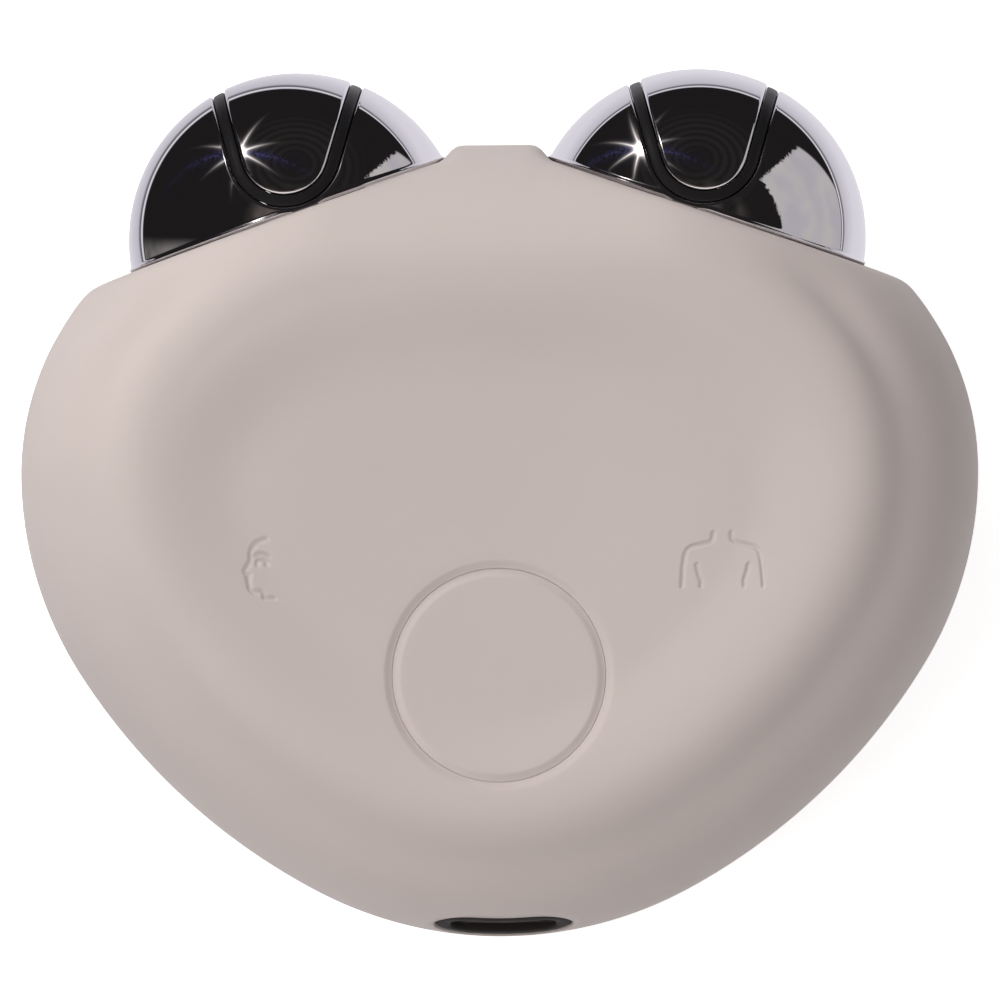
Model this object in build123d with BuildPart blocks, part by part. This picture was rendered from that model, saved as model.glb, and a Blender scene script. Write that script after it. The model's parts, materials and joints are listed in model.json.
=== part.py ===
from build123d import *
import os
from math import cos, hypot, radians, sin, sqrt

# Facial toning device with two split chrome domes and one round press pad. Millimetres.
# The device lies on its back. The origin is the middle of the flat on its back, +Z comes out of
# the front through the press pad, +Y runs from the chin to the domes, +X is right seen from the front.

# ---------------------------------------------------------------- casing
body_width = 84.0
body_height = 69.45  # chin to crown, without the domes
body_depth = 38.0
widest_offset = 6.0  # how far the widest line lies above the middle of the height
flank_radius = 55.0  # long lower flanks of the outline
shoulder_radius = 34.2
crown_radius = 20.0
chin_turn = 28.0  # heading of the outline, in degrees, where the chin arc ends
flank_turn = 58.0
lobe_turn = 120.0
edge_run = 11.5  # how far the rounded edge runs in from the outline
edge_steps = 5  # lofted spans of the rounded edge
dish_radius = 23.0  # hollow of the front face
dish_depth = 2.2
skin_wall = 1.4  # silicone
bond_gap = 0.05  # between the silicone and the housing under it
housing_wall = 1.6
joint_rib_wall = 1.0  # rib that lines up the two housings
joint_rib_height = 2.0
joint_gap = 0.2
joint_rib_stop = 2.75  # the joint rib ends this far outside a dome
overcut = 1.0  # how far a cut runs past the face it opens

# ---------------------------------------------------------------- domes
dome_radius = 14.75
dome_space = 5.7  # between the two domes
dome_drop = 8.25  # dome centre below the crown
dome_lean = 19.2  # outward lean of the dome axis, degrees
dome_gap = 0.25  # around a dome in the casing
seat_height = 2.28  # seat plane above the dome centre, along the axis
seat_end_inset = 0.15  # end of the seat plane towards the crown, inside the dome radius
dome_wall = 1.5
dome_skirt = 1.5  # shell below the dome centre
part_gap = 0.05  # between the fixed pieces of a dome
tongue_x = 0.75  # middle of the tongue, outward of the dome centre
tongue_setback = 6.95  # centre of the tongue's round end inside the dome's top
tongue_radius = 4.4  # middle of the black seam
tongue_flare = 15.5  # lean of the tongue's sides, degrees
gasket_width = 1.25
gasket_recess = 0.12
gasket_foot = 0.1  # gasket thickness below the electrodes
carrier_floor = 3.0  # underside of the carrier below the dome centre
carrier_top = 0.9
post_rise = 1.0  # foot of the tongue's post above the carrier
pillar_x = -3.0  # pillar under the tongue
pillar_width = 6.4
pillar_length = 16.0
shell_boss_inset = 4.45  # the shell's screws inside the dome radius
boss_radius = 2.0
foot_offset = 5.5  # foot that is screwed to the front housing, inward of the outer shell screw
foot_width = 4.4
foot_drop = 7.0  # screw of the foot below the dome centre
foot_reach = 10.5
foot_thickness = 4.0
seal_section = 1.1
seal_height = 0.9
seal_top = 0.05

# ---------------------------------------------------------------- press pad and switch
button_y = -11.7
button_radius = 9.0
button_travel = 0.35
groove_gap = 0.7  # ring groove around the pad
cap_thickness = 1.2  # at its thinnest
under_gap = 0.3  # left under the pad when it is pressed
lip_wall = 0.5  # silicone floor of the ring groove
lip_reach = 1.2  # how far the floor passes under the pad
collar_wall = 0.8
well_floor = 1.4
actuator_gap = 0.4
flange_thickness = 1.0
flange_reach = 0.8  # past the hole that keeps the actuator in
switch_side = 6.0
switch_corner = 0.5
switch_height = 2.2
stem_radius = 1.6
stem_out = 0.5
stem_inside = 1.3
stem_gap = 0.08
disc_radius = 2.1
disc_rise = 0.25
disc_thickness = 0.12

# ---------------------------------------------------------------- board and what is on it
board_thickness = 1.2
board_inset = 5.5
board_side_inset = 13.0  # from the widest line of the casing
board_edge_drop = 17.475  # edge towards the domes, below the dome centres
board_post_radius = 2.4
upper_post_inset = 18.0  # from the widest line of the casing
upper_post_drop = 4.0  # below the board's edge
lower_post_x = 12.5
lower_post_rise = 12.225  # above the chin
usb_width = 8.94
usb_height = 3.26
usb_length = 7.35
usb_corner = 1.2
usb_wall = 0.3
usb_recess = 0.7  # mouth of the receptacle behind the chin's surface
usb_tongue_width = 6.69
usb_tongue_thickness = 0.7
usb_tongue_length = 4.45
usb_tongue_setback = 1.0  # behind the mouth of the receptacle
bezel_width = 12.1
bezel_height = 7.4
bezel_recess = 0.1
bezel_length = 3.6
port_room = 3.0  # hollow behind the bezel
port_gap = 0.1
light_x = 20.0  # lights behind the two pictograms
light_y = -2.0
light_size = (1.6, 0.8, 0.65)
guide_radius = 1.5
guide_gap = 0.3  # light to guide
guide_clearance = 0.05
controller = (-9.0, 7.0, 7.0, 7.0, 0.9)  # x, distance below the board's edge, width, length, height
driver = (9.0, 6.5, 5.0, 4.0, 1.0)
charger = (8.0, 14.225, 3.0, 3.0, 0.8)  # x, distance above the chin, width, length, height
transformer_place = (-12.0, -4.0)
transformer_size = (9.0, 8.0, 5.0)
transformer_corner = 0.8
transformer_leg = 1.2  # side walls of the core
transformer_core_radius = 1.6
transformer_slot = 1.2
capacitor_x = 3.0
capacitor_drop = 4.5  # below the board's edge
capacitor_radius = 2.0
capacitor_height = 5.4
socket_inset = 5.6  # inward of the dome centres
socket_drop = 8.0  # below the board's edge
socket_size = (6.6, 5.4, 4.5)
socket_wall = 0.7
plug_length = 5.6
plug_clearance = 0.05

# ---------------------------------------------------------------- battery and leads
battery_size = (34.0, 30.0, 10.0)
battery_drop = 14.475  # battery's end below the dome centres
battery_corner = 2.0
battery_edge = 1.0
foam_thickness = 0.8
foam_margin = 2.0
rib_wall = 1.2
rib_height = 5.0
rib_gap = 0.4
battery_lead_radius = 0.6
battery_lead_bends = [2.2, 2.6, 2.6, 1.2]
battery_lead_reach = 3.6  # loop past the battery's end
battery_lead_fall = 4.5  # from the plug to the turn of the loop
battery_tab_depth = 2.5  # tabs below the battery's top
electrode_lead_radius = 0.5
electrode_lead_bends = [2.5, 4.0, 1.3]
electrode_lead_rise = 3.0  # above the board
electrode_lead_start = 4.0  # straight out of the terminal
electrode_lead_run = 4.5  # towards the board while it rises
electrode_lead_lean = 0.4  # sideways play
shell_pad_inset = 11.0  # pads inward of the dome centres
insert_pad_inset = 5.4
pad_drop = 1.8  # pads below the board's edge

# ---------------------------------------------------------------- fasteners
boss_places = [(90.0, 8.5), (40.0, 8.0)]  # housing screws: heading of the outline there, inset from it
housing_boss_radius = 2.8
boss_clearance = 0.6
screw_radius = 0.95
screw_head_radius = 1.9
screw_head_height = 1.2
cross_length = 2.0  # cross recess in the head
cross_width = 0.45
cross_depth = 0.6
thread_gap = 0.02
hole_gap = 0.15
head_gap = 0.25
dome_screw_length = 9.0
board_screw_length = 4.0
housing_screw_length = 14.0
housing_screw_seat = 6.0  # below the joint of the housings
terminal_radius = 2.3
terminal_thickness = 0.3
terminal_gap = 0.1  # carrier to barrel
barrel_radius = 0.75
barrel_start = 2.1
barrel_end = 5.3


# ================================================================ worked-out sizes
def reach(start, end):
    """Sideways and upward travel of an arc of radius 1 that turns from start to end degrees."""
    across = sin(radians(end)) - sin(radians(start))
    up = cos(radians(start)) - cos(radians(end))
    return across, up


mid = body_depth / 2
chin_y = -body_height / 2
crown_y = body_height / 2
shoulder_turn = 180.0 - dome_lean

chin_reach = reach(0, chin_turn)
flank_reach = reach(chin_turn, flank_turn)
side_reach = reach(flank_turn, 90)
lobe_reach = reach(90, lobe_turn)
shoulder_reach = reach(lobe_turn, shoulder_turn)
crown_reach = reach(shoulder_turn, 180)

# The chin and side radii close the lower half on the width and the widest line,
# and the lobe radius closes the upper half on the crown.
lower_across = body_width / 2 - flank_radius * flank_reach[0]
lower_up = body_height / 2 + widest_offset - flank_radius * flank_reach[1]
determinant = chin_reach[0] * side_reach[1] - side_reach[0] * chin_reach[1]
chin_radius = (lower_across * side_reach[1] - side_reach[0] * lower_up) / determinant
side_radius = (chin_reach[0] * lower_up - chin_reach[1] * lower_across) / determinant
upper_up = body_height / 2 - widest_offset
upper_up -= shoulder_radius * shoulder_reach[1] + crown_radius * crown_reach[1]
lobe_radius = upper_up / lobe_reach[1]
outline_arcs = [
    (chin_radius, 0, chin_turn),
    (flank_radius, chin_turn, flank_turn),
    (side_radius, flank_turn, 90),
    (lobe_radius, 90, lobe_turn),
    (shoulder_radius, lobe_turn, shoulder_turn),
    (crown_radius, shoulder_turn, 180),
]

dome_x = dome_radius + dome_space / 2
dome_y = crown_y - dome_drop
tongue_y = dome_y + dome_radius - tongue_setback
shell_boss_x = dome_radius - shell_boss_inset
foot_x = shell_boss_x - foot_offset
seat_back = dome_radius - seat_end_inset
dish_sphere = (dish_radius**2 + dish_depth**2) / (2 * dish_depth)
housing_inset = skin_wall + bond_gap
cavity_inset = skin_wall + housing_wall
sides = {"left": -1, "right": 1}


def front_height(distance):
    """Height of the dished front face at a distance from the dish's middle."""
    return body_depth - dish_depth + dish_sphere - sqrt(dish_sphere**2 - distance**2)


cap_base = front_height(abs(button_y) - button_radius) - cap_thickness
lip_top = cap_base - button_travel - under_gap
lip_base = lip_top - lip_wall
groove_radius = button_radius + groove_gap
collar_radius = groove_radius + collar_wall
lip_radius = groove_radius - lip_reach
well_radius = collar_radius + bond_gap
well_top = lip_base - bond_gap
well_base = well_top - well_floor
actuator_radius = lip_radius - actuator_gap
flange_top = well_base - under_gap
flange_base = flange_top - flange_thickness
flange_radius = lip_radius + flange_reach
switch_top = flange_base - stem_out
board_top = switch_top - switch_height
board_base = board_top - board_thickness
stem_base = switch_top - stem_inside

board_edge_y = dome_y - board_edge_drop
board_width = body_width - 2 * board_side_inset
pad_y = board_edge_y - pad_drop

usb_z = board_base - usb_height / 2
rear_floor = cavity_inset
battery_base = rear_floor + foam_thickness
battery_top = battery_base + battery_size[2]
battery_end = dome_y - battery_drop
battery_y = battery_end - battery_size[1] / 2
shell_inner = dome_radius - dome_wall
gasket_radius = dome_radius - gasket_recess
gasket_inner = shell_inner - part_gap - gasket_foot
carrier_radius = gasket_inner - part_gap
post_base = carrier_top + post_rise
washer_base = carrier_floor + terminal_thickness
lead_drop = carrier_floor + terminal_gap + barrel_radius


def edge_point(angle, inset):
    """Pull-in and height above the middle of the rounded edge, moved inwards by inset."""
    across = cos(angle) / edge_run
    up = sin(angle) / mid
    size = hypot(across, up)
    pull = edge_run * (1 - cos(angle)) + inset * across / size
    height = mid * sin(angle) - inset * up / size
    return pull, height


def edge_pull(height, inset):
    """Pull-in of the rounded edge at a height above the middle."""
    rise = height / (mid - inset)
    return inset + (edge_run - inset) * (1 - sqrt(1 - rise**2))


def half_outline(inset):
    """Right half of the casing outline from the chin to the crown, moved inwards by inset."""
    at = (0, chin_y + inset)
    heading = (1, 0)
    for radius, start, end in outline_arcs:
        arc = JernArc(at, heading, radius - inset, end - start)
        at = arc @ 1
        heading = arc % 1
    Line(at, (0, crown_y - inset))


def outline_point(heading, inset):
    """Point inside the right half of the outline, opposite the place where it has a heading."""
    x = 0
    y = chin_y + inset
    for radius, start, end in outline_arcs:
        if heading > start:
            across, up = reach(start, min(heading, end))
            x += (radius - inset) * across
            y += (radius - inset) * up
    return x, y


def dome_plane(side):
    """Plane at a dome's centre: z out along its axis, x away from the middle of the device."""
    lean = radians(dome_lean)
    return Plane(
        origin=(side * dome_x, dome_y, mid),
        x_dir=(side * cos(lean), -sin(lean), 0),
        z_dir=(side * sin(lean), cos(lean), 0),
    )


def rounded_half(rise, inset):
    """Front (rise 1) or back (rise -1) half of the casing's outer form, moved inwards by inset."""
    with BuildPart() as half:
        for step in range(edge_steps + 1):
            pull, height = edge_point(radians(90 * step / edge_steps), inset)
            with BuildSketch(Plane.XY.offset(mid + rise * height)):
                with BuildLine():
                    half_outline(pull)
                    mirror(about=Plane.YZ)
                make_face()
        loft()
    return half.part


def casing_form(rise, inset):
    """A casing half with its dish and the flat seats under the domes, moved inwards by inset."""
    blank = rounded_half(rise, inset)
    seat_length = body_width / 2
    with BuildPart() as form:
        add(blank)
        if rise > 0:
            with Locations((0, 0, body_depth - dish_depth + dish_sphere)):
                Sphere(dish_sphere + inset, mode=Mode.SUBTRACT)
        for side in sides.values():
            with BuildSketch(dome_plane(side).offset(seat_height - inset)):
                with Locations((-seat_back - inset, 0)):
                    Rectangle(seat_length, 2 * body_depth, align=(Align.MIN, Align.CENTER))
            extrude(amount=body_height, mode=Mode.SUBTRACT)
    return form.part


def tongue_outline(radius):
    """Flared tongue with a round end, about the end's centre, open upwards past the dome."""
    flare = radians(tongue_flare)
    foot = (radius * cos(flare), -radius * sin(flare))
    length = 2 * dome_radius
    tip = (foot[0] + length * sin(flare), foot[1] + length * cos(flare))
    Line((-tip[0], tip[1]), (-foot[0], foot[1]))
    ThreePointArc((-foot[0], foot[1]), (0, -radius), foot)
    Line(foot, tip)
    Line(tip, (-tip[0], tip[1]))


def tongue_prism(side, radius):
    """The tongue's outline carried from the back of a dome to its front."""
    centre = (side * (dome_x + tongue_x), tongue_y, mid - 2 * dome_radius)
    with BuildPart() as prism:
        with BuildSketch(Plane(origin=centre)):
            with BuildLine():
                tongue_outline(radius)
            make_face()
        extrude(amount=4 * dome_radius)
    return prism.part


def screws(places, length):
    """Pan-head screws as one group; each place is a plane at the seat, z along the shank."""
    with BuildPart() as group:
        for place in places:
            with BuildSketch(place):
                Circle(screw_head_radius)
            extrude(amount=-screw_head_height)
            with BuildSketch(place):
                Circle(screw_radius)
            extrude(amount=length)
            with BuildSketch(place.offset(-screw_head_height)):
                Rectangle(cross_length, cross_width)
                Rectangle(cross_width, cross_length)
            extrude(amount=cross_depth, mode=Mode.SUBTRACT)
    return group.part


def lead(points, radii, radius):
    """Round insulated wire along straight runs joined by arcs."""
    with BuildPart() as wire:
        with BuildLine() as path:
            FilletPolyline(*points, radius=radii)
        with BuildSketch(Plane(origin=path.line @ 0, z_dir=path.line % 0)):
            Circle(radius)
        sweep()
    return wire.part


def finish(part, name):
    """Name a piece and write it."""
    part.label = name
    export_step(part, "parts/" + name + ".step")


os.makedirs("parts", exist_ok=True)

front_outside = casing_form(1, 0)
rear_outside = casing_form(-1, 0)
front_core = casing_form(1, housing_inset)
rear_core = casing_form(-1, housing_inset)

# ================================================================ skins
front_under = casing_form(1, skin_wall)
rear_under = casing_form(-1, skin_wall)

with BuildPart() as collar:
    with BuildSketch(Plane.XY.offset(lip_base)):
        with Locations((0, button_y)):
            Circle(collar_radius)
    extrude(amount=body_depth - lip_base)
    add(front_outside, mode=Mode.INTERSECT)

port_plane = Plane(origin=(0, chin_y - overcut, usb_z), x_dir=(1, 0, 0), z_dir=(0, 1, 0))
bezel_end = overcut + edge_pull(usb_z - mid, 0) + bezel_length
with BuildPart() as bezel_blank:
    with BuildSketch(port_plane):
        SlotOverall(bezel_width, bezel_height)
    extrude(amount=bezel_end)

with BuildPart() as bezel_hole:
    with BuildSketch(port_plane):
        SlotOverall(bezel_width + 2 * port_gap, bezel_height + 2 * port_gap)
    extrude(amount=bezel_end + port_room)

# Room in the casing for the two domes and for the seals around them.
dome_planes = [dome_plane(side) for side in sides.values()]
seal_radius = dome_radius + part_gap + seal_section
with BuildPart() as dome_room:
    with Locations(*dome_planes):
        Sphere(dome_radius + dome_gap)
    with BuildSketch(*[plane.offset(-seal_top - seal_height - bond_gap) for plane in dome_planes]):
        Circle(seal_radius + bond_gap)
    extrude(amount=seal_height + 2 * bond_gap)

with BuildPart() as front_skin:
    add(front_outside)
    add(front_under, mode=Mode.SUBTRACT)
    add(collar.part)
    with BuildSketch(Plane.XY.offset(lip_top)):
        with Locations((0, button_y)):
            Circle(groove_radius)
    extrude(amount=body_depth, mode=Mode.SUBTRACT)
    with BuildSketch(Plane.XY.offset(lip_base - overcut)):
        with Locations((0, button_y)):
            Circle(lip_radius)
    extrude(amount=body_depth, mode=Mode.SUBTRACT)
    add(dome_room.part, mode=Mode.SUBTRACT)
    add(bezel_hole.part, mode=Mode.SUBTRACT)
finish(front_skin.part, "front_skin")

with BuildPart() as rear_skin:
    add(rear_outside)
    add(rear_under, mode=Mode.SUBTRACT)
    add(dome_room.part, mode=Mode.SUBTRACT)
finish(rear_skin.part, "rear_skin")

# ================================================================ housings
front_cavity = casing_form(1, cavity_inset)
rear_cavity = casing_form(-1, cavity_inset)
right_bosses = [outline_point(heading, inset) for heading, inset in boss_places]
right_posts = [
    (body_width / 2 - upper_post_inset, board_edge_y - upper_post_drop),
    (lower_post_x, chin_y + lower_post_rise),
]
both_bosses = [(side * x, y) for x, y in right_bosses for side in sides.values()]
both_posts = [(side * x, y) for x, y in right_posts for side in sides.values()]
both_lights = [(side * light_x, light_y) for side in sides.values()]
both_feet = {}
for name, side in sides.items():
    foot_place = dome_plane(side).from_local_coords((foot_x, 0, -foot_drop))
    both_feet[name] = (foot_place.X, foot_place.Y)

# Every post hangs from the front housing's ceiling and is trimmed to the housing's outer form.
with BuildPart() as front_posts:
    with BuildSketch(Plane.XY.offset(mid)):
        with Locations(*both_bosses):
            Circle(housing_boss_radius)
    extrude(amount=mid)
    with BuildSketch(Plane.XY.offset(board_top)):
        with Locations(*both_posts):
            Circle(board_post_radius)
    extrude(amount=body_depth - board_top)
    with BuildSketch(Plane.XY.offset(mid + foot_thickness / 2)):
        with Locations(*both_feet.values()):
            Circle(board_post_radius)
    extrude(amount=mid)
    with BuildSketch(Plane.XY.offset(well_base)):
        with Locations((0, button_y)):
            Circle(well_radius + housing_wall)
    extrude(amount=body_depth - well_base)
    add(front_core, mode=Mode.INTERSECT)

with BuildPart() as front_housing:
    add(front_core)
    add(front_cavity, mode=Mode.SUBTRACT)
    add(front_posts.part)
    with BuildSketch(Plane.XY.offset(well_top)):
        with Locations((0, button_y)):
            Circle(well_radius)
    extrude(amount=body_depth, mode=Mode.SUBTRACT)
    with BuildSketch(Plane.XY.offset(well_base - overcut)):
        with Locations((0, button_y)):
            Circle(lip_radius)
    extrude(amount=body_depth, mode=Mode.SUBTRACT)
    with BuildSketch(Plane.XY.offset(board_top)):
        with Locations(*both_lights):
            Circle(guide_radius + guide_clearance)
    extrude(amount=body_depth, mode=Mode.SUBTRACT)
    with BuildSketch(Plane.XY.offset(mid)):
        with Locations(*both_bosses, *both_feet.values()):
            Circle(screw_radius + thread_gap)
    extrude(amount=dome_screw_length, mode=Mode.SUBTRACT)
    with BuildSketch(Plane.XY.offset(board_top)):
        with Locations(*both_posts):
            Circle(screw_radius + thread_gap)
    extrude(amount=board_screw_length - board_thickness + thread_gap, mode=Mode.SUBTRACT)
    add(dome_room.part, mode=Mode.SUBTRACT)
    add(bezel_hole.part, mode=Mode.SUBTRACT)
finish(front_housing.part, "front_housing")

rib_inner_x = battery_size[0] / 2 + rib_gap
rib_inner_y = battery_size[1] / 2 + rib_gap
with BuildPart() as rear_posts:
    with BuildSketch(Plane.XY.offset(housing_inset)):
        with Locations(*both_bosses):
            Circle(housing_boss_radius)
    extrude(amount=mid - housing_inset - bond_gap)
    with BuildSketch(Plane.XY.offset(housing_inset)):
        with Locations((0, battery_y)):
            Rectangle(2 * (rib_inner_x + rib_wall), 2 * (rib_inner_y + rib_wall))
            Rectangle(2 * rib_inner_x, 2 * rib_inner_y, mode=Mode.SUBTRACT)
            Rectangle(2 * (rib_inner_x - battery_corner), 4 * rib_inner_y, mode=Mode.SUBTRACT)
    extrude(amount=housing_wall + rib_height)
    add(rear_core, mode=Mode.INTERSECT)

# The joint rib stands inside the rear housing's edge and lines up the front housing. Its root
# reaches out into the rear wall. Both stop short of the domes.
with BuildPart() as joint_room:
    add(rear_core)
    add(casing_form(1, cavity_inset + joint_gap))

rib_inside = cavity_inset + joint_gap + joint_rib_wall
joint_ribs = []
for rib_outside, height in (
    (cavity_inset + joint_gap, 2 * joint_rib_height),
    (cavity_inset - joint_gap, joint_rib_height / 2),
):
    with BuildPart() as joint_rib:
        with BuildSketch(Plane.XY.offset(mid - joint_rib_height)):
            with BuildLine():
                half_outline(rib_outside)
                mirror(about=Plane.YZ)
            make_face()
            with BuildLine():
                half_outline(rib_inside)
                mirror(about=Plane.YZ)
            make_face(mode=Mode.SUBTRACT)
        extrude(amount=height)
        with BuildSketch(*[plane.offset(-carrier_floor - joint_rib_height) for plane in dome_planes]):
            Circle(dome_radius + joint_rib_stop)
        extrude(amount=body_height, mode=Mode.SUBTRACT)
        add(joint_room.part, mode=Mode.INTERSECT)
    joint_ribs.append(joint_rib.part)

with BuildPart() as rear_housing:
    add(rear_core)
    add(rear_cavity, mode=Mode.SUBTRACT)
    add(rear_posts.part)
    add(joint_ribs)
    with BuildSketch(Plane.XY):
        with Locations(*both_bosses):
            Circle(screw_radius + hole_gap)
    extrude(amount=body_depth, mode=Mode.SUBTRACT)
    with BuildSketch(Plane.XY):
        with Locations(*both_bosses):
            Circle(screw_head_radius + head_gap)
    extrude(amount=mid - housing_screw_seat, mode=Mode.SUBTRACT)
    add(dome_room.part, mode=Mode.SUBTRACT)
finish(rear_housing.part, "rear_housing")

# ================================================================ domes
terminal_places = []
dome_screw_places = []
for name, side in sides.items():
    axis_plane = dome_plane(side)
    shell_screws = [(-shell_boss_x, 0), (shell_boss_x, 0)]
    seam_outside = tongue_prism(side, tongue_radius + gasket_width / 2 + part_gap)
    band_outside = tongue_prism(side, tongue_radius + gasket_width / 2)
    band_inside = tongue_prism(side, tongue_radius - gasket_width / 2)
    tongue_inside = tongue_prism(side, tongue_radius - gasket_width / 2 - part_gap)

    with BuildPart() as shell_bosses:
        with BuildSketch(axis_plane.offset(carrier_top + part_gap)):
            with Locations(*shell_screws):
                Circle(boss_radius)
        extrude(amount=dome_radius)
        with Locations(axis_plane):
            Sphere(dome_radius - dome_wall / 2, mode=Mode.INTERSECT)

    with BuildPart() as dome_shell:
        with Locations(axis_plane):
            Sphere(dome_radius)
            Sphere(shell_inner, mode=Mode.SUBTRACT)
        with BuildSketch(axis_plane.offset(-dome_skirt)):
            Circle(2 * dome_radius)
        extrude(amount=-2 * dome_radius, mode=Mode.SUBTRACT)
        add(shell_bosses.part)
        add(seam_outside, mode=Mode.SUBTRACT)
        with BuildSketch(axis_plane.offset(-dome_skirt)):
            with Locations(*shell_screws):
                Circle(screw_radius + thread_gap)
        extrude(amount=dome_screw_length - washer_base + dome_skirt + thread_gap, mode=Mode.SUBTRACT)
    finish(dome_shell.part, name + "_dome_shell")

    with BuildPart() as insert_post:
        with BuildSketch(axis_plane.offset(post_base)):
            with Locations((pillar_x, 0)):
                Circle(boss_radius)
        extrude(amount=dome_radius)
        with Locations(axis_plane):
            Sphere(dome_radius - dome_wall / 2, mode=Mode.INTERSECT)

    with BuildPart() as dome_insert:
        with Locations(axis_plane):
            Sphere(dome_radius)
            Sphere(shell_inner, mode=Mode.SUBTRACT)
        add(tongue_inside, mode=Mode.INTERSECT)
        add(insert_post.part)
        with BuildSketch(axis_plane):
            with Locations((pillar_x, 0)):
                Circle(screw_radius + thread_gap)
        extrude(amount=dome_screw_length - washer_base + thread_gap, mode=Mode.SUBTRACT)
    finish(dome_insert.part, name + "_dome_insert")

    with BuildPart() as dome_gasket:
        with Locations(axis_plane):
            Sphere(gasket_radius)
            Sphere(gasket_inner, mode=Mode.SUBTRACT)
        add(band_outside, mode=Mode.INTERSECT)
        add(band_inside, mode=Mode.SUBTRACT)
    finish(dome_gasket.part, name + "_dome_gasket")

    with BuildPart() as pillar:
        with BuildSketch(axis_plane):
            with Locations((pillar_x, 0)):
                Rectangle(pillar_width, pillar_length)
        extrude(amount=dome_radius)
        with Locations(axis_plane):
            Sphere(carrier_radius, mode=Mode.INTERSECT)

    with BuildPart() as dome_carrier:
        with BuildSketch(axis_plane.offset(-carrier_floor)):
            Circle(carrier_radius)
        extrude(amount=carrier_floor + carrier_top)
        with BuildSketch(axis_plane.offset(-carrier_floor)):
            Circle(dome_radius - dome_gap)
        extrude(amount=carrier_floor - dome_skirt - part_gap)
        add(pillar.part)
        with BuildSketch(axis_plane.offset(-carrier_floor)):
            with Locations((foot_x, 0)):
                Rectangle(foot_width, foot_thickness)
        extrude(amount=carrier_floor - foot_reach)
        with BuildSketch(axis_plane.offset(-washer_base)):
            with Locations((shell_boss_x, 0)):
                Circle(screw_head_radius)
        extrude(amount=terminal_thickness)
        with BuildSketch(axis_plane.offset(-foot_reach)):
            with Locations(*shell_screws, (pillar_x, 0)):
                Circle(screw_radius + hole_gap)
        extrude(amount=foot_reach + post_base, mode=Mode.SUBTRACT)
        with BuildSketch(axis_plane.offset(post_base - part_gap)):
            with Locations((pillar_x, 0)):
                Circle(boss_radius + part_gap)
        extrude(amount=dome_radius, mode=Mode.SUBTRACT)
        with BuildSketch(axis_plane.offset(carrier_top)):
            with Locations(*shell_screws):
                Circle(boss_radius + part_gap)
        extrude(amount=dome_radius, mode=Mode.SUBTRACT)
        with BuildSketch(Plane.XY.offset(mid - foot_thickness)):
            with Locations(both_feet[name]):
                Circle(screw_radius + hole_gap)
        extrude(amount=2 * foot_thickness, mode=Mode.SUBTRACT)
    finish(dome_carrier.part, name + "_dome_carrier")

    with BuildPart() as dome_seal:
        with BuildSketch(axis_plane.offset(-seal_top - seal_height)):
            Circle(seal_radius)
            Circle(seal_radius - seal_section, mode=Mode.SUBTRACT)
        extrude(amount=seal_height)
    finish(dome_seal.part, name + "_dome_seal")

    washer_plane = axis_plane.offset(-washer_base)
    for x in (-shell_boss_x, pillar_x):
        terminal_places.append((washer_plane, side, x))
    for x in (-shell_boss_x, pillar_x, shell_boss_x):
        origin = axis_plane.from_local_coords((x, 0, -washer_base))
        dome_screw_places.append(Plane(origin=origin, z_dir=axis_plane.z_dir))

for x, y in both_feet.values():
    dome_screw_places.append(Plane(origin=(x, y, mid - foot_thickness / 2)))
finish(screws(dome_screw_places, dome_screw_length), "dome_screws")

with BuildPart() as lead_terminals:
    for washer_plane, side, x in terminal_places:
        with BuildSketch(washer_plane):
            with Locations((x, 0)):
                Circle(terminal_radius)
                Circle(screw_radius + hole_gap, mode=Mode.SUBTRACT)
        extrude(amount=terminal_thickness)
        barrel_foot = washer_plane.from_local_coords((x, 0, washer_base - lead_drop))
        with BuildSketch(Plane(origin=(barrel_foot.X, barrel_foot.Y, mid + barrel_start))):
            Circle(barrel_radius)
        extrude(amount=barrel_end - barrel_start)
finish(lead_terminals.part, "lead_terminals")

# ================================================================ leads of the electrodes
lead_ceiling = board_top + electrode_lead_rise
for name, side in sides.items():
    for kind, x, inset in (("shell", -shell_boss_x, shell_pad_inset), ("insert", pillar_x, insert_pad_inset)):
        start = dome_plane(side).from_local_coords((x, 0, -lead_drop))
        pad_x = dome_x - inset
        points = [
            (start.X, start.Y, mid + barrel_end),
            (start.X, start.Y, mid + barrel_end + electrode_lead_start),
            (side * (pad_x + electrode_lead_lean), start.Y - electrode_lead_run, lead_ceiling),
            (side * pad_x, pad_y + electrode_lead_lean / 2, lead_ceiling),
            (side * pad_x, pad_y, board_top),
        ]
        wire = lead(points, electrode_lead_bends, electrode_lead_radius)
        finish(wire, name + "_" + kind + "_lead")

# ================================================================ press pad
with BuildPart() as button_cap:
    with BuildSketch(Plane.XY.offset(cap_base)):
        with Locations((0, button_y)):
            Circle(button_radius)
    extrude(amount=body_depth - cap_base)
    add(front_outside, mode=Mode.INTERSECT)
finish(button_cap.part, "button_cap")

with BuildPart() as button_actuator:
    with BuildSketch(Plane.XY.offset(flange_base)):
        with Locations((0, button_y)):
            Circle(flange_radius)
    extrude(amount=flange_thickness)
    with BuildSketch(Plane.XY.offset(flange_top)):
        with Locations((0, button_y)):
            Circle(actuator_radius)
    extrude(amount=cap_base - flange_top)
finish(button_actuator.part, "button_actuator")

with BuildPart() as switch_stem:
    with BuildSketch(Plane.XY.offset(stem_base)):
        with Locations((0, button_y)):
            Circle(stem_radius)
    extrude(amount=flange_base - stem_base)
finish(switch_stem.part, "switch_stem")

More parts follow.
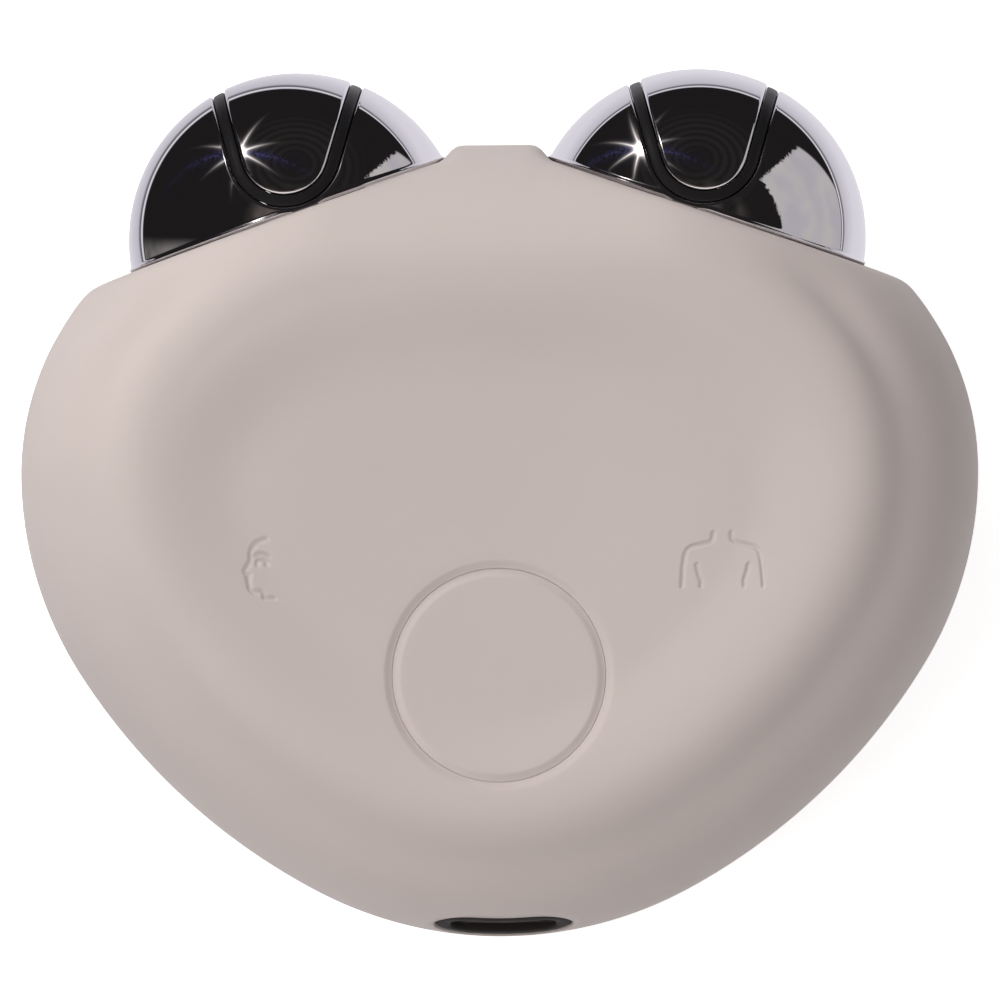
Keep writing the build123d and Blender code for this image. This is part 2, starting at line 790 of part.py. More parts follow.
with BuildPart() as switch_body:
    with BuildSketch(Plane.XY.offset(board_top)):
        with Locations((0, button_y)):
            Rectangle(switch_side, switch_side)
    extrude(amount=switch_height)
    fillet(switch_body.edges().filter_by(Axis.Z), radius=switch_corner)
    with BuildSketch(Plane.XY.offset(board_top + disc_thickness)):
        with Locations((0, button_y)):
            Circle(stem_radius + stem_gap)
    extrude(amount=switch_height, mode=Mode.SUBTRACT)
    with BuildSketch(Plane.XY.offset(board_top + disc_thickness)):
        with Locations((0, button_y)):
            Circle(disc_radius + part_gap)
    extrude(amount=disc_rise + 2 * disc_thickness, mode=Mode.SUBTRACT)
finish(switch_body.part, "switch_body")

# The snap disc is a shallow cap of a sphere, low at its rim and high under the stem.
disc_sphere = (disc_radius**2 + disc_rise**2) / (2 * disc_rise)
with BuildPart() as switch_disc:
    with BuildSketch(Plane.XZ.offset(-button_y)):
        with BuildLine():
            low = board_top + 2 * disc_thickness
            slope = disc_radius / disc_sphere
            half_slope = sqrt((1 - sqrt(1 - slope**2)) / 2)
            half_cosine = sqrt((1 + sqrt(1 - slope**2)) / 2)
            for shift in (0.0, -disc_thickness):
                top_z = low + disc_rise + shift
                way = (disc_sphere * half_slope, top_z - disc_sphere * (1 - half_cosine))
                ThreePointArc((0, top_z), way, (disc_radius, low + shift))
            Line((0, low + disc_rise), (0, low + disc_rise - disc_thickness))
            Line((disc_radius, low), (disc_radius, low - disc_thickness))
        make_face()
    revolve(axis=Axis((0, button_y, 0), (0, 0, 1)))
finish(switch_disc.part, "switch_disc")

# ================================================================ main board
with BuildPart() as main_board:
    with BuildSketch(Plane.XY.offset(board_base)):
        with BuildLine():
            half_outline(board_inset)
            mirror(about=Plane.YZ)
        make_face()
        with Locations((0, board_edge_y)):
            Rectangle(board_width, body_height, align=(Align.CENTER, Align.MAX), mode=Mode.INTERSECT)
        with Locations(*both_bosses):
            Circle(housing_boss_radius + boss_clearance, mode=Mode.SUBTRACT)
        with Locations(*both_posts):
            Circle(screw_radius + hole_gap, mode=Mode.SUBTRACT)
    extrude(amount=board_thickness)
finish(main_board.part, "main_board")

board_screw_places = []
for x, y in both_posts:
    board_screw_places.append(Plane(origin=(x, y, board_base), x_dir=(1, 0, 0), z_dir=(0, 0, 1)))
finish(screws(board_screw_places, board_screw_length), "board_screws")

housing_screw_places = []
for x, y in both_bosses:
    housing_screw_places.append(Plane(origin=(x, y, mid - housing_screw_seat)))
finish(screws(housing_screw_places, housing_screw_length), "housing_screws")

chip_blocks = [(x, board_edge_y - drop, *size) for x, drop, *size in (controller, driver)]
chip_blocks.append((charger[0], chin_y + charger[1], *charger[2:]))
with BuildPart() as board_chips:
    for x, y, width, length, height in chip_blocks:
        with BuildSketch(Plane.XY.offset(board_top)):
            with Locations((x, y)):
                Rectangle(width, length)
        extrude(amount=height)
finish(board_chips.part, "board_chips")

with BuildPart() as boost_transformer:
    width, length, height = transformer_size
    with BuildSketch(Plane.XY.offset(board_base - height)):
        with Locations(transformer_place):
            RectangleRounded(width, length, transformer_corner)
    extrude(amount=height)
    with BuildSketch(Plane.XY.offset(board_base - height)):
        with Locations(transformer_place):
            Rectangle(width - 2 * transformer_leg, length + 2 * overcut)
            Circle(transformer_core_radius, mode=Mode.SUBTRACT)
    extrude(amount=transformer_slot, mode=Mode.SUBTRACT)
finish(boost_transformer.part, "boost_transformer")

with BuildPart() as board_capacitors:
    with BuildSketch(Plane.XY.offset(board_base - capacitor_height)):
        with Locations(*[(side * capacitor_x, board_edge_y - capacitor_drop) for side in sides.values()]):
            Circle(capacitor_radius)
    extrude(amount=capacitor_height)
finish(board_capacitors.part, "board_capacitors")

with BuildPart() as mode_lights:
    with BuildSketch(Plane.XY.offset(board_top)):
        with Locations(*both_lights):
            Rectangle(light_size[0], light_size[1])
    extrude(amount=light_size[2])
finish(mode_lights.part, "mode_lights")

with BuildPart() as light_guides:
    with BuildSketch(Plane.XY.offset(board_top + light_size[2] + guide_gap)):
        with Locations(*both_lights):
            Circle(guide_radius)
    extrude(amount=body_depth)
    add(front_core, mode=Mode.INTERSECT)
finish(light_guides.part, "light_guides")

# ================================================================ charging port
usb_front = chin_y + edge_pull(usb_z - mid, 0) + usb_recess
usb_plane = Plane(origin=(0, usb_front, usb_z), x_dir=(1, 0, 0), z_dir=(0, 1, 0))
with BuildPart() as usb_shell:
    with BuildSketch(usb_plane):
        RectangleRounded(usb_width, usb_height, usb_corner)
    extrude(amount=usb_length)
    with BuildSketch(usb_plane):
        RectangleRounded(usb_width - 2 * usb_wall, usb_height - 2 * usb_wall, usb_corner - usb_wall)
    extrude(amount=usb_length - usb_wall, mode=Mode.SUBTRACT)
finish(usb_shell.part, "usb_shell")

tongue_base = usb_length - usb_wall - usb_tongue_length - usb_tongue_setback
with BuildPart() as usb_tongue:
    with BuildSketch(usb_plane.offset(usb_length - usb_wall - tongue_base)):
        RectangleRounded(
            usb_width - 2 * usb_wall - 2 * part_gap,
            usb_height - 2 * usb_wall - 2 * part_gap,
            usb_corner - usb_wall - part_gap,
        )
    extrude(amount=tongue_base - part_gap)
    with BuildSketch(usb_plane.offset(usb_tongue_setback)):
        Rectangle(usb_tongue_width, usb_tongue_thickness)
    extrude(amount=usb_tongue_length)
finish(usb_tongue.part, "usb_tongue")

bezel_face = casing_form(1, bezel_recess)
with BuildPart() as port_bezel:
    add(bezel_blank.part)
    add(bezel_face, mode=Mode.INTERSECT)
    with BuildSketch(port_plane):
        RectangleRounded(usb_width + 2 * port_gap, usb_height + 2 * port_gap, usb_corner + port_gap)
    extrude(amount=body_height, mode=Mode.SUBTRACT)
finish(port_bezel.part, "port_bezel")

# ================================================================ battery
with BuildPart() as battery:
    with BuildSketch(Plane.XY.offset(battery_base)):
        with Locations((0, battery_y)):
            RectangleRounded(battery_size[0], battery_size[1], battery_corner)
    extrude(amount=battery_size[2])
    fillet(battery.faces().sort_by(Axis.Z)[-1].edges(), radius=battery_edge)
finish(battery.part, "battery")

with BuildPart() as battery_foam:
    with BuildSketch(Plane.XY.offset(rear_floor)):
        with Locations((0, battery_y)):
            Rectangle(battery_size[0] - 2 * foam_margin, battery_size[1] - 2 * foam_margin)
    extrude(amount=foam_thickness)
finish(battery_foam.part, "battery_foam")

socket_x = dome_x - socket_inset
socket_y = board_edge_y - socket_drop
socket_z = board_base - socket_size[2] / 2
socket_mouth = socket_y + socket_size[1] / 2
with BuildPart() as battery_socket:
    with Locations((socket_x, socket_y, socket_z)):
        Box(*socket_size)
    with BuildSketch(Plane(origin=(socket_x, socket_mouth, socket_z), x_dir=(1, 0, 0), z_dir=(0, -1, 0))):
        Rectangle(socket_size[0] - 2 * socket_wall, socket_size[2] - 2 * socket_wall)
    extrude(amount=socket_size[1] - socket_wall, mode=Mode.SUBTRACT)
finish(battery_socket.part, "battery_socket")

plug_back = socket_mouth - socket_size[1] + socket_wall + plug_clearance
plug_mouth = plug_back + plug_length
with BuildPart() as battery_plug:
    with BuildSketch(Plane(origin=(socket_x, plug_back, socket_z), x_dir=(1, 0, 0), z_dir=(0, 1, 0))):
        Rectangle(
            socket_size[0] - 2 * socket_wall - 2 * plug_clearance,
            socket_size[2] - 2 * socket_wall - 2 * plug_clearance,
        )
    extrude(amount=plug_length)
finish(battery_plug.part, "battery_plug")

# Each lead loops from the plug over the battery's end to its tab; the points lie on a hand-laid path.
lead_loop = battery_end + battery_lead_reach
tab_z = battery_top - battery_tab_depth
for name, shift, tab_x in (("positive", 1.0, 9.0), ("negative", -1.0, 4.0)):
    points = [
        (socket_x + shift, plug_mouth, socket_z),
        (socket_x + shift, lead_loop - 3.5, socket_z),
        (socket_x + shift - 0.5, lead_loop + shift / 2, socket_z - battery_lead_fall),
        (tab_x + 1.5, lead_loop + shift / 2 + 0.5, battery_top + 0.5),
        (tab_x, lead_loop - 1.0, tab_z),
        (tab_x, battery_end, tab_z),
    ]
    wire = lead(points, battery_lead_bends, battery_lead_radius)
    finish(wire, "battery_lead_" + name)
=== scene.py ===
import json
import math

import bpy
import numpy as np
from mathutils import Matrix


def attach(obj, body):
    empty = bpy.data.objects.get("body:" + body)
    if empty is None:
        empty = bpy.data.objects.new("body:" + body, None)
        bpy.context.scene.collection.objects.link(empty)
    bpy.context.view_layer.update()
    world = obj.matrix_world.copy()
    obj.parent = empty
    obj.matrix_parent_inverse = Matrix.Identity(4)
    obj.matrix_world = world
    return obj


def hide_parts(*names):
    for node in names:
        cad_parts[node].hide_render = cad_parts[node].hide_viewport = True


bl_info = {
    "name": "Facial toning device",
    "version": (1, 0, 0),
    "blender": (4, 5, 0),
    "location": "3D View > Sidebar > Toning device",
    "description": "Skins, press pad, chrome domes and finishes of a facial toning device",
    "category": "Object",
}

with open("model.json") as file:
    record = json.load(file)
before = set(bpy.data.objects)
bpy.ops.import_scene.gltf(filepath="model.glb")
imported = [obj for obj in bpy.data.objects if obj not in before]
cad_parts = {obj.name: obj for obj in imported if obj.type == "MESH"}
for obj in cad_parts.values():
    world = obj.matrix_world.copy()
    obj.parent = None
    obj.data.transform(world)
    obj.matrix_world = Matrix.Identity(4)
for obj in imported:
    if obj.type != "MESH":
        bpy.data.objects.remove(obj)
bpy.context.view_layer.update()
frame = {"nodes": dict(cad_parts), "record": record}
SIDES = {"left": -1.0, "right": 1.0}
MM = 0.001
FAR = 99.0  # millimetres, more than any distance on the device


# ---------------------------------------------------------------- sizes and colours
def length(name, description, default):
    """Size in metres."""
    return bpy.props.FloatProperty(
        name=name, description=description, default=default, unit="LENGTH", precision=5
    )


def slope(name, description, degrees):
    """Angle, given in degrees and kept in radians."""
    return bpy.props.FloatProperty(
        name=name, description=description, default=math.radians(degrees), subtype="ANGLE"
    )


def colour(name, description, default):
    """Colour without transparency."""
    return bpy.props.FloatVectorProperty(
        name=name, description=description, default=default, size=3, subtype="COLOR", min=0.0, max=1.0
    )


class CasingSizes(bpy.types.PropertyGroup):
    width: length("Width", "Casing from side to side", 0.084)
    height: length("Height", "Casing from chin to crown, without the domes", 0.06945)
    depth: length("Depth", "Casing from back to front", 0.038)
    widest: length("Widest line", "Widest line above the middle of the height", 0.006)
    edge_run: length("Edge run", "How far the rounded edge runs in from the outline", 0.0115)
    skin: length("Skin", "Thickness of the silicone skin", 0.0014)
    dish_depth: length("Dish depth", "Drop of the dish's sloping wall", 0.0012)
    dish_bowl: length("Dish bowl", "Further drop towards the dish's middle", 0.0006)
    dish_bowl_radius: length("Bowl radius", "Radius of that further drop", 0.023)
    dish_wall: length("Dish wall", "Width of the dish's sloping wall", 0.0082)
    dish_top: length("Dish top", "Top of the dish's upper edge above the middle", 0.025)
    dish_arc: length("Dish arc", "Radius of the dish's upper edge", 0.044)
    cove_depth: length("Cove depth", "Hollow of the cove outside the front ridge", 0.00085)
    cove_inset: length("Cove place", "Middle of the cove, in from the outline", 0.0058)
    cove_width: length("Cove width", "Half width of the cove", 0.0024)
    groove_depth: length("Line depth", "Depth of the pictogram lines", 0.0002)
    groove_width: length("Line width", "Width of the pictogram lines", 0.0005)


class PadSizes(bpy.types.PropertyGroup):
    middle: length("Place", "Middle of the pad above the casing's middle", -0.0117)
    radius: length("Radius", "Radius of the press pad", 0.0093)
    gap: length("Slit", "Clearance between the pad and the skin", 0.00002)
    edge: length("Valley", "Half width of the soft valley around the pad", 0.00085)
    edge_drop: length("Valley depth", "Depth of that valley", 0.0003)
    base: length("Base", "Underside of the pad", 0.03463)
    lip_top: length("Lip top", "Floor of the groove", 0.03398)
    lip: length("Lip", "Thickness of that floor", 0.0005)
    lip_reach: length("Lip reach", "How far the floor passes under the pad", 0.00085)


class DomeSizes(bpy.types.PropertyGroup):
    radius: length("Radius", "Radius of a dome", 0.01475)
    side: length("Side", "Dome centre from the middle", 0.0176)
    drop: length("Drop", "Dome centre below the crown", 0.00825)
    lean: slope("Lean", "Outward lean of a dome's axis", 19.2)
    gap: length("Gap", "Clearance of a dome in the skin", 0.00014)
    seat: length("Seat", "Seat plane above the dome centre", 0.00228)
    seat_back: length("Seat back", "How far the seat is cut towards the crown", 0.0146)
    bead: length("Bead", "Height of the rolled edge of the shell above the seat", 0.00015)
    wall: length("Wall", "Thickness of the chrome shell", 0.0015)
    skirt: length("Skirt", "Shell below the dome centre", 0.0015)
    tongue_side: length("Tongue side", "Middle of the tongue outward of the dome centre", 0.00075)
    tongue_rise: length("Tongue rise", "Centre of the tongue's round end above the dome centre", 0.0078)
    tongue_radius: length("Tongue radius", "Radius of the black seam's round end", 0.0044)
    tongue_flare: slope("Flare", "Lean of the tongue's sides", 15.5)
    seam: length("Seam", "Width of the black seam", 0.00100)
    seam_gap: length("Seam gap", "Clearance of the seam's gasket", 0.00005)
    seam_recess: length("Seam recess", "Gasket below the chrome", 0.00016)
    lip: length("Lip", "Rounding of the chrome beside the seam", 0.0003)


class PortSizes(bpy.types.PropertyGroup):
    width: length("Width", "Width of the port's bezel", 0.0121)
    height: length("Height", "Height of the port's bezel", 0.0074)
    middle: length("Place", "Middle of the port above the back", 0.0252)
    gap: length("Gap", "Clearance of the bezel in the skin", 0.0001)
    opening_width: length("Opening width", "Width of the opening for the plug", 0.00914)
    opening_height: length("Opening height", "Height of the opening for the plug", 0.00346)
    opening_corner: length("Opening corner", "Corner radius of that opening", 0.0013)


class Colours(bpy.types.PropertyGroup):
    silicone: colour("Silicone", "Warm greige skin", (0.600, 0.520, 0.493))
    pad: colour("Pad", "Silicone of the press pad", (0.595, 0.515, 0.488))
    chrome: colour("Chrome", "Polished domes", (0.80, 0.785, 0.815))
    rubber: colour("Rubber", "Black gasket", (0.012, 0.011, 0.012))
    port: colour("Port", "Black plastic of the port", (0.016, 0.013, 0.012))
    floor: colour("Floor", "Studio floor", (0.90, 0.90, 0.90))


# ---------------------------------------------------------------- form of the casing, in millimetres
class Form:
    """Sizes in millimetres and the shape functions of the casing."""

    angles = ("lean", "tongue_flare")  # sizes that aren't lengths
    arc_turns = (0.0, 28.0, 58.0, 90.0, 120.0)  # headings where the outline's arcs meet, in degrees
    arc_radii = (55.0, 34.2, 20.0)  # of the flank, the shoulder and the crown
    dish_corner = 2.5  # softness where the dish's upper edge meets its sides
    seat_softness = 0.55
    seat_below = 4.0  # how far under the seat plane the flattening looks
    seat_fade = (-1.9, 0.5)  # where it fades out, about the seat's end towards the crown

    def __init__(self, scene):
        groups = {"c_": scene.casing, "p_": scene.pad, "d_": scene.dome, "o_": scene.port}
        for prefix, group in groups.items():
            for name in type(group).__annotations__:
                value = getattr(group, name)
                setattr(self, prefix + name, value if name in self.angles else value / MM)
        self.mid = self.c_depth / 2
        self.chin = -self.c_height / 2
        self.crown = self.c_height / 2
        self.dome_y = self.crown - self.d_drop
        self._arcs()

    def _arcs(self):
        """Radii, centres and headings of the tangent arcs from the chin to the crown.

        The chin and side radii close the lower half on the width and the widest line, and the lobe
        radius closes the upper half on the crown."""
        turns = np.radians([*self.arc_turns, 180.0 - math.degrees(self.d_lean), 180.0])
        across = np.diff(np.sin(turns))
        up = -np.diff(np.cos(turns))
        flank, shoulder, crown = self.arc_radii
        right = self.c_width / 2 - flank * across[1]
        rise = self.c_height / 2 + self.c_widest - flank * up[1]
        chin, side = np.linalg.solve([[across[0], across[2]], [up[0], up[2]]], [right, rise])
        lobe = (self.c_height / 2 - self.c_widest - shoulder * up[4] - crown * up[5]) / up[3]
        self.radius = np.array([chin, flank, side, lobe, shoulder, crown])
        self.turn = turns
        joints = np.vstack([[0.0, self.chin], self.radius[:, None] * np.stack([across, up], 1)]).cumsum(0)
        outward = np.stack([np.sin(turns[:-1]), -np.cos(turns[:-1])], 1)
        self.centre = joints[:-1] - self.radius[:, None] * outward
        self.flat = joints[-1, 0]
        arc_lengths = self.radius * np.diff(turns)
        self.travel = np.concatenate([[0.0], arc_lengths.cumsum()])
        self.half_length = self.travel[-1] + self.flat

    def outline(self, share):
        """Outline point and inward direction for a share from -1 to 1 of the half length.

        The share is walked along the arcs from the chin; on each arc the heading grows with the
        length over the radius, and the point is the centre plus the radius times the outward
        direction. Negative shares are the mirror image."""
        walk = np.abs(share) * self.half_length
        on_arc = walk < self.travel[-1]
        arc = np.searchsorted(self.travel, walk, side="right") - 1
        arc = np.clip(arc, 0, len(self.radius) - 1)
        heading = np.where(on_arc, self.turn[arc] + (walk - self.travel[arc]) / self.radius[arc], np.pi)
        out = np.stack([np.sin(heading), -np.cos(heading)], -1)
        point = self.centre[arc] + self.radius[arc][..., None] * out
        straight = np.stack([self.half_length - walk, np.full_like(walk, self.crown)], -1)
        point = np.where(on_arc[..., None], point, straight)
        mirror = np.stack([np.where(share < 0, -1.0, 1.0), np.ones_like(walk)], -1)
        return point * mirror, -out * mirror

    def inset(self, x, y):
        """Distance of inside points from the outline: the least over the arcs that face the point."""
        x = np.abs(x)
        best = np.where(x < self.flat, self.crown - y, FAR)
        for k in range(len(self.radius)):
            dx = x - self.centre[k, 0]
            dy = y - self.centre[k, 1]
            heading = np.arctan2(dx, -dy)
            facing = (heading > self.turn[k] - 1e-6) & (heading < self.turn[k + 1] + 1e-6)
            best = np.where(facing, np.minimum(best, self.radius[k] - np.hypot(dx, dy)), best)
        return best

    def face(self, x, y):
        """Front face inside the ridge: the depth less an eased step over the dish's wall and a bowl.

        The step goes by the soft minimum of the distance from the ridge and the distance from the
        arc of the dish's upper edge. The bowl is the square of one less the squared distance over
        its radius."""
        ridge = self.inset(x, y)
        arc = self.c_edge_run + self.c_dish_arc - np.hypot(x, y - self.c_dish_top + self.c_dish_arc)
        inward = (ridge + arc - np.hypot(ridge - arc, self.dish_corner)) / 2
        step = smooth(inward, self.c_edge_run, self.c_edge_run + self.c_dish_wall)
        bowl = np.clip(1 - (x**2 + y**2) / self.c_dish_bowl_radius**2, 0.0, 1.0) ** 2
        return self.c_depth - self.c_dish_depth * step - self.c_dish_bowl * bowl

    def pad_edge(self, away):
        """Drop beside the pad's rim: half a cosine wave over the valley's half width."""
        near = np.clip(1 - away / self.p_edge, 0.0, 1.0)
        return self.p_edge_drop * (1 - np.cos(np.pi * near)) / 2

    def cove(self, inset, share):
        """Hollow outside the front ridge: a bell across the inset.

        It is narrower at the shoulders, by a bell over their height, and shallower at the crown."""
        point, _ = self.outline(share)
        x, y = np.abs(point[..., 0]), point[..., 1]
        shoulder_y, shoulder_spread, shoulder_x, shoulder_run = 22.0, 7.0, 16.0, 10.0
        crown_start, crown_end = 24.0, 32.0
        narrowing, fading = 0.35, 0.75
        shoulder = np.exp(-(((y - shoulder_y) / shoulder_spread) ** 2))
        shoulder *= np.clip((x - shoulder_x) / shoulder_run, 0, 1)
        width = self.c_cove_width * (1 - narrowing * shoulder)
        crown = 1 - smooth(y, crown_start, crown_end) * fading
        return self.c_cove_depth * crown * np.exp(-(((inset - self.c_cove_inset) / width) ** 2))

    def dome_frame(self, side):
        """Centre, sideways and axis directions of a dome."""
        lean = self.d_lean
        centre = np.array([side * self.d_side, self.dome_y, self.mid])
        sideways = np.array([side * math.cos(lean), -math.sin(lean), 0.0])
        axis = np.array([side * math.sin(lean), math.cos(lean), 0.0])
        return centre, sideways, axis

    def seated(self, points):
        """Flattens what stands above each dome's seat plane onto it, with a soft edge.

        The height along the dome's axis becomes the soft minimum of itself and the seat's height,
        and the change fades out at the step towards the crown."""
        fade = [place - self.d_seat_back for place in self.seat_fade]
        for side in SIDES.values():
            centre, sideways, axis = self.dome_frame(side)
            away = points - centre
            high = away @ axis
            low = (high + self.d_seat - np.hypot(high - self.d_seat, self.seat_softness)) / 2
            low = np.where(high > self.d_seat - self.seat_below, low, high)
            share = smooth(away @ sideways, *fade)
            points = points - axis * ((high - low) * share)[..., None]
        return points

    def seam_distance(self, side, x, y):
        """Signed distance from the middle of the U seam, positive outside the tongue.

        Below the feet of its sides it is the distance from the round end's circle, and above them
        the distance from the straight flared side."""
        px = np.abs(x - side * (self.d_side + self.d_tongue_side))
        py = y - (self.dome_y + self.d_tongue_rise)
        flare = self.d_tongue_flare
        foot = self.d_tongue_radius * np.array([math.cos(flare), -math.sin(flare)])
        along = (px - foot[0]) * math.sin(flare) + (py - foot[1]) * math.cos(flare)
        side_away = (px - foot[0]) * math.cos(flare) - (py - foot[1]) * math.sin(flare)
        return np.where(along > 0, side_away, np.hypot(px, py) - self.d_tongue_radius)


def smooth(value, start, end):
    """Eased step from 0 at start to 1 at end."""
    step = np.clip((value - start) / (end - start), 0.0, 1.0)
    return step * step * (3 - 2 * step)


# ---------------------------------------------------------------- pictograms, generic designs
def arc_points(cx, cy, rx, ry, start, end, count):
    """Points of an ellipse's arc: centre plus radius times cosine and sine."""
    turn = np.radians(np.linspace(start, end, count))
    return np.stack([cx + rx * np.cos(turn), cy + ry * np.sin(turn)], 1)


def head_strokes():
    """Side view of a plain head by the usual thirds: forehead, nose, lips, chin, neck and an eye."""
    profile = np.array(
        [
            (0.55, 3.15), (-0.35, 2.85), (-0.95, 2.25), (-1.15, 1.55), (-1.10, 0.95), (-1.25, 0.65),
            (-1.75, -0.25), (-1.70, -0.45), (-1.25, -0.55), (-1.25, -0.75), (-1.48, -0.95), (-1.28, -1.15),
            (-1.45, -1.38), (-1.22, -1.60), (-1.32, -1.95), (-1.20, -2.25), (-0.75, -2.45), (0.05, -2.40),
            (0.25, -2.70), (0.30, -3.10), (1.35, -3.10),
        ]
    )
    eye = arc_points(0.05, 0.55, 0.55, 0.38, 200, -20, 9)
    brow = arc_points(0.05, 0.95, 0.85, 0.62, 150, 30, 9)
    return [profile, eye, brow]


def back_strokes():
    """Back of a plain torso: neck, shoulders, arms and waist, mirrored about its middle."""
    neck = np.array([(0.95, 3.0), (1.00, 2.35), (1.25, 2.05), (2.60, 1.70)])
    shoulder = arc_points(2.60, 0.55, 1.35, 1.15, 90, 8, 9)
    arm = np.array([(3.94, 0.71), (4.15, -0.6), (4.30, -2.6)])
    waist = np.array([(2.72, -0.35), (2.55, -1.2), (2.25, -2.0), (2.30, -2.6)])
    half = [np.vstack([neck, shoulder[1:], arm[1:]]), waist]
    return half + [stroke * [-1, 1] for stroke in half]


def line_distance(x, y, strokes):
    """Least distance from points to the strokes' straight pieces."""
    point = np.stack([x, y], -1)
    best = np.full(x.shape, FAR)
    for stroke in strokes:
        for a, b in zip(stroke[:-1], stroke[1:]):
            way = b - a
            share = np.clip(((point - a) @ way) / (way @ way), 0.0, 1.0)
            best = np.minimum(best, np.hypot(*np.moveaxis(point - a - share[..., None] * way, -1, 0)))
    return best


PICTOGRAM_SCALE = 0.83
PICTOGRAM_ROOM = (6.0, 5.0)  # more than half a pictogram's width and height
PICTOGRAMS = (
    ((-20.6, -2.2), [stroke * PICTOGRAM_SCALE for stroke in head_strokes()]),
    ((19.6, -1.95), [stroke * PICTOGRAM_SCALE for stroke in back_strokes()]),
)


def pictogram_drop(form, x, y):
    """Depth of the pictogram lines: a rounded channel across the distance from the nearest stroke."""
    narrowing = 1.3
    drop = np.zeros_like(x)
    half = form.c_groove_width / 2
    for (cx, cy), strokes in PICTOGRAMS:
        near = (np.abs(x - cx) < PICTOGRAM_ROOM[0]) & (np.abs(y - cy) < PICTOGRAM_ROOM[1])
        if near.any():
            away = line_distance(x[near] - cx, y[near] - cy, strokes)
            drop[near] += form.c_groove_depth * np.clip(1 - (away / half) ** 2, 0.0, 1.0) ** narrowing
    return drop


# ---------------------------------------------------------------- meshes
def new_piece(name, points, faces, material, flat_from=None):
    """Puts points in millimetres and triangles into a mesh object at the origin.

    Faces from the number flat_from on are shaded flat, and all others smooth."""
    mesh = bpy.data.meshes.new(name)
    faces = np.asarray(faces, dtype=np.int32)
    mesh.vertices.add(len(points))
    mesh.vertices.foreach_set("co", (np.asarray(points) * MM).astype(np.float32).ravel())
    mesh.loops.add(faces.size)
    mesh.loops.foreach_set("vertex_index", faces.ravel())
    mesh.polygons.add(len(faces))
    mesh.polygons.foreach_set("loop_start", np.arange(0, faces.size, 3, dtype=np.int32))
    smooth_flags = np.ones(len(faces), dtype=bool)
    if flat_from is not None:
        smooth_flags[flat_from:] = False
    mesh.update(calc_edges=True)
    mesh.polygons.foreach_set("use_smooth", smooth_flags)
    mesh.validate()
    mesh.materials.append(material)
    piece = bpy.data.objects.new(name, mesh)
    bpy.context.scene.collection.objects.link(piece)
    return piece


def circle(count):
    """Angles of evenly spaced points around a full turn."""
    return np.linspace(0, 2 * np.pi, count, endpoint=False)


def spokes(count, sideways, axis):
    """Directions around an axis, the first of them sideways."""
    turn = circle(count)[:, None]
    return np.cos(turn) * sideways + np.sin(turn) * np.cross(axis, sideways)


def strip_faces(columns, rows, out=True):
    """Triangles of a grid closed around its columns; point (column, row) is row * columns + column."""
    i, j = np.meshgrid(np.arange(columns), np.arange(rows - 1), indexing="ij")
    i, j = i.ravel(), j.ravel()
    a, b = j * columns + i, j * columns + (i + 1) % columns
    d, c = a + columns, b + columns
    faces = np.concatenate([np.stack([a, b, c], 1), np.stack([a, c, d], 1)])
    return faces if out else faces[:, ::-1]


def fan_faces(ring, middle, out=True):
    """Triangles from a closed ring of points to one middle point."""
    ring = np.asarray(ring)
    faces = np.stack([ring, np.roll(ring, -1), np.full(len(ring), middle)], 1)
    return faces if out else faces[:, ::-1]


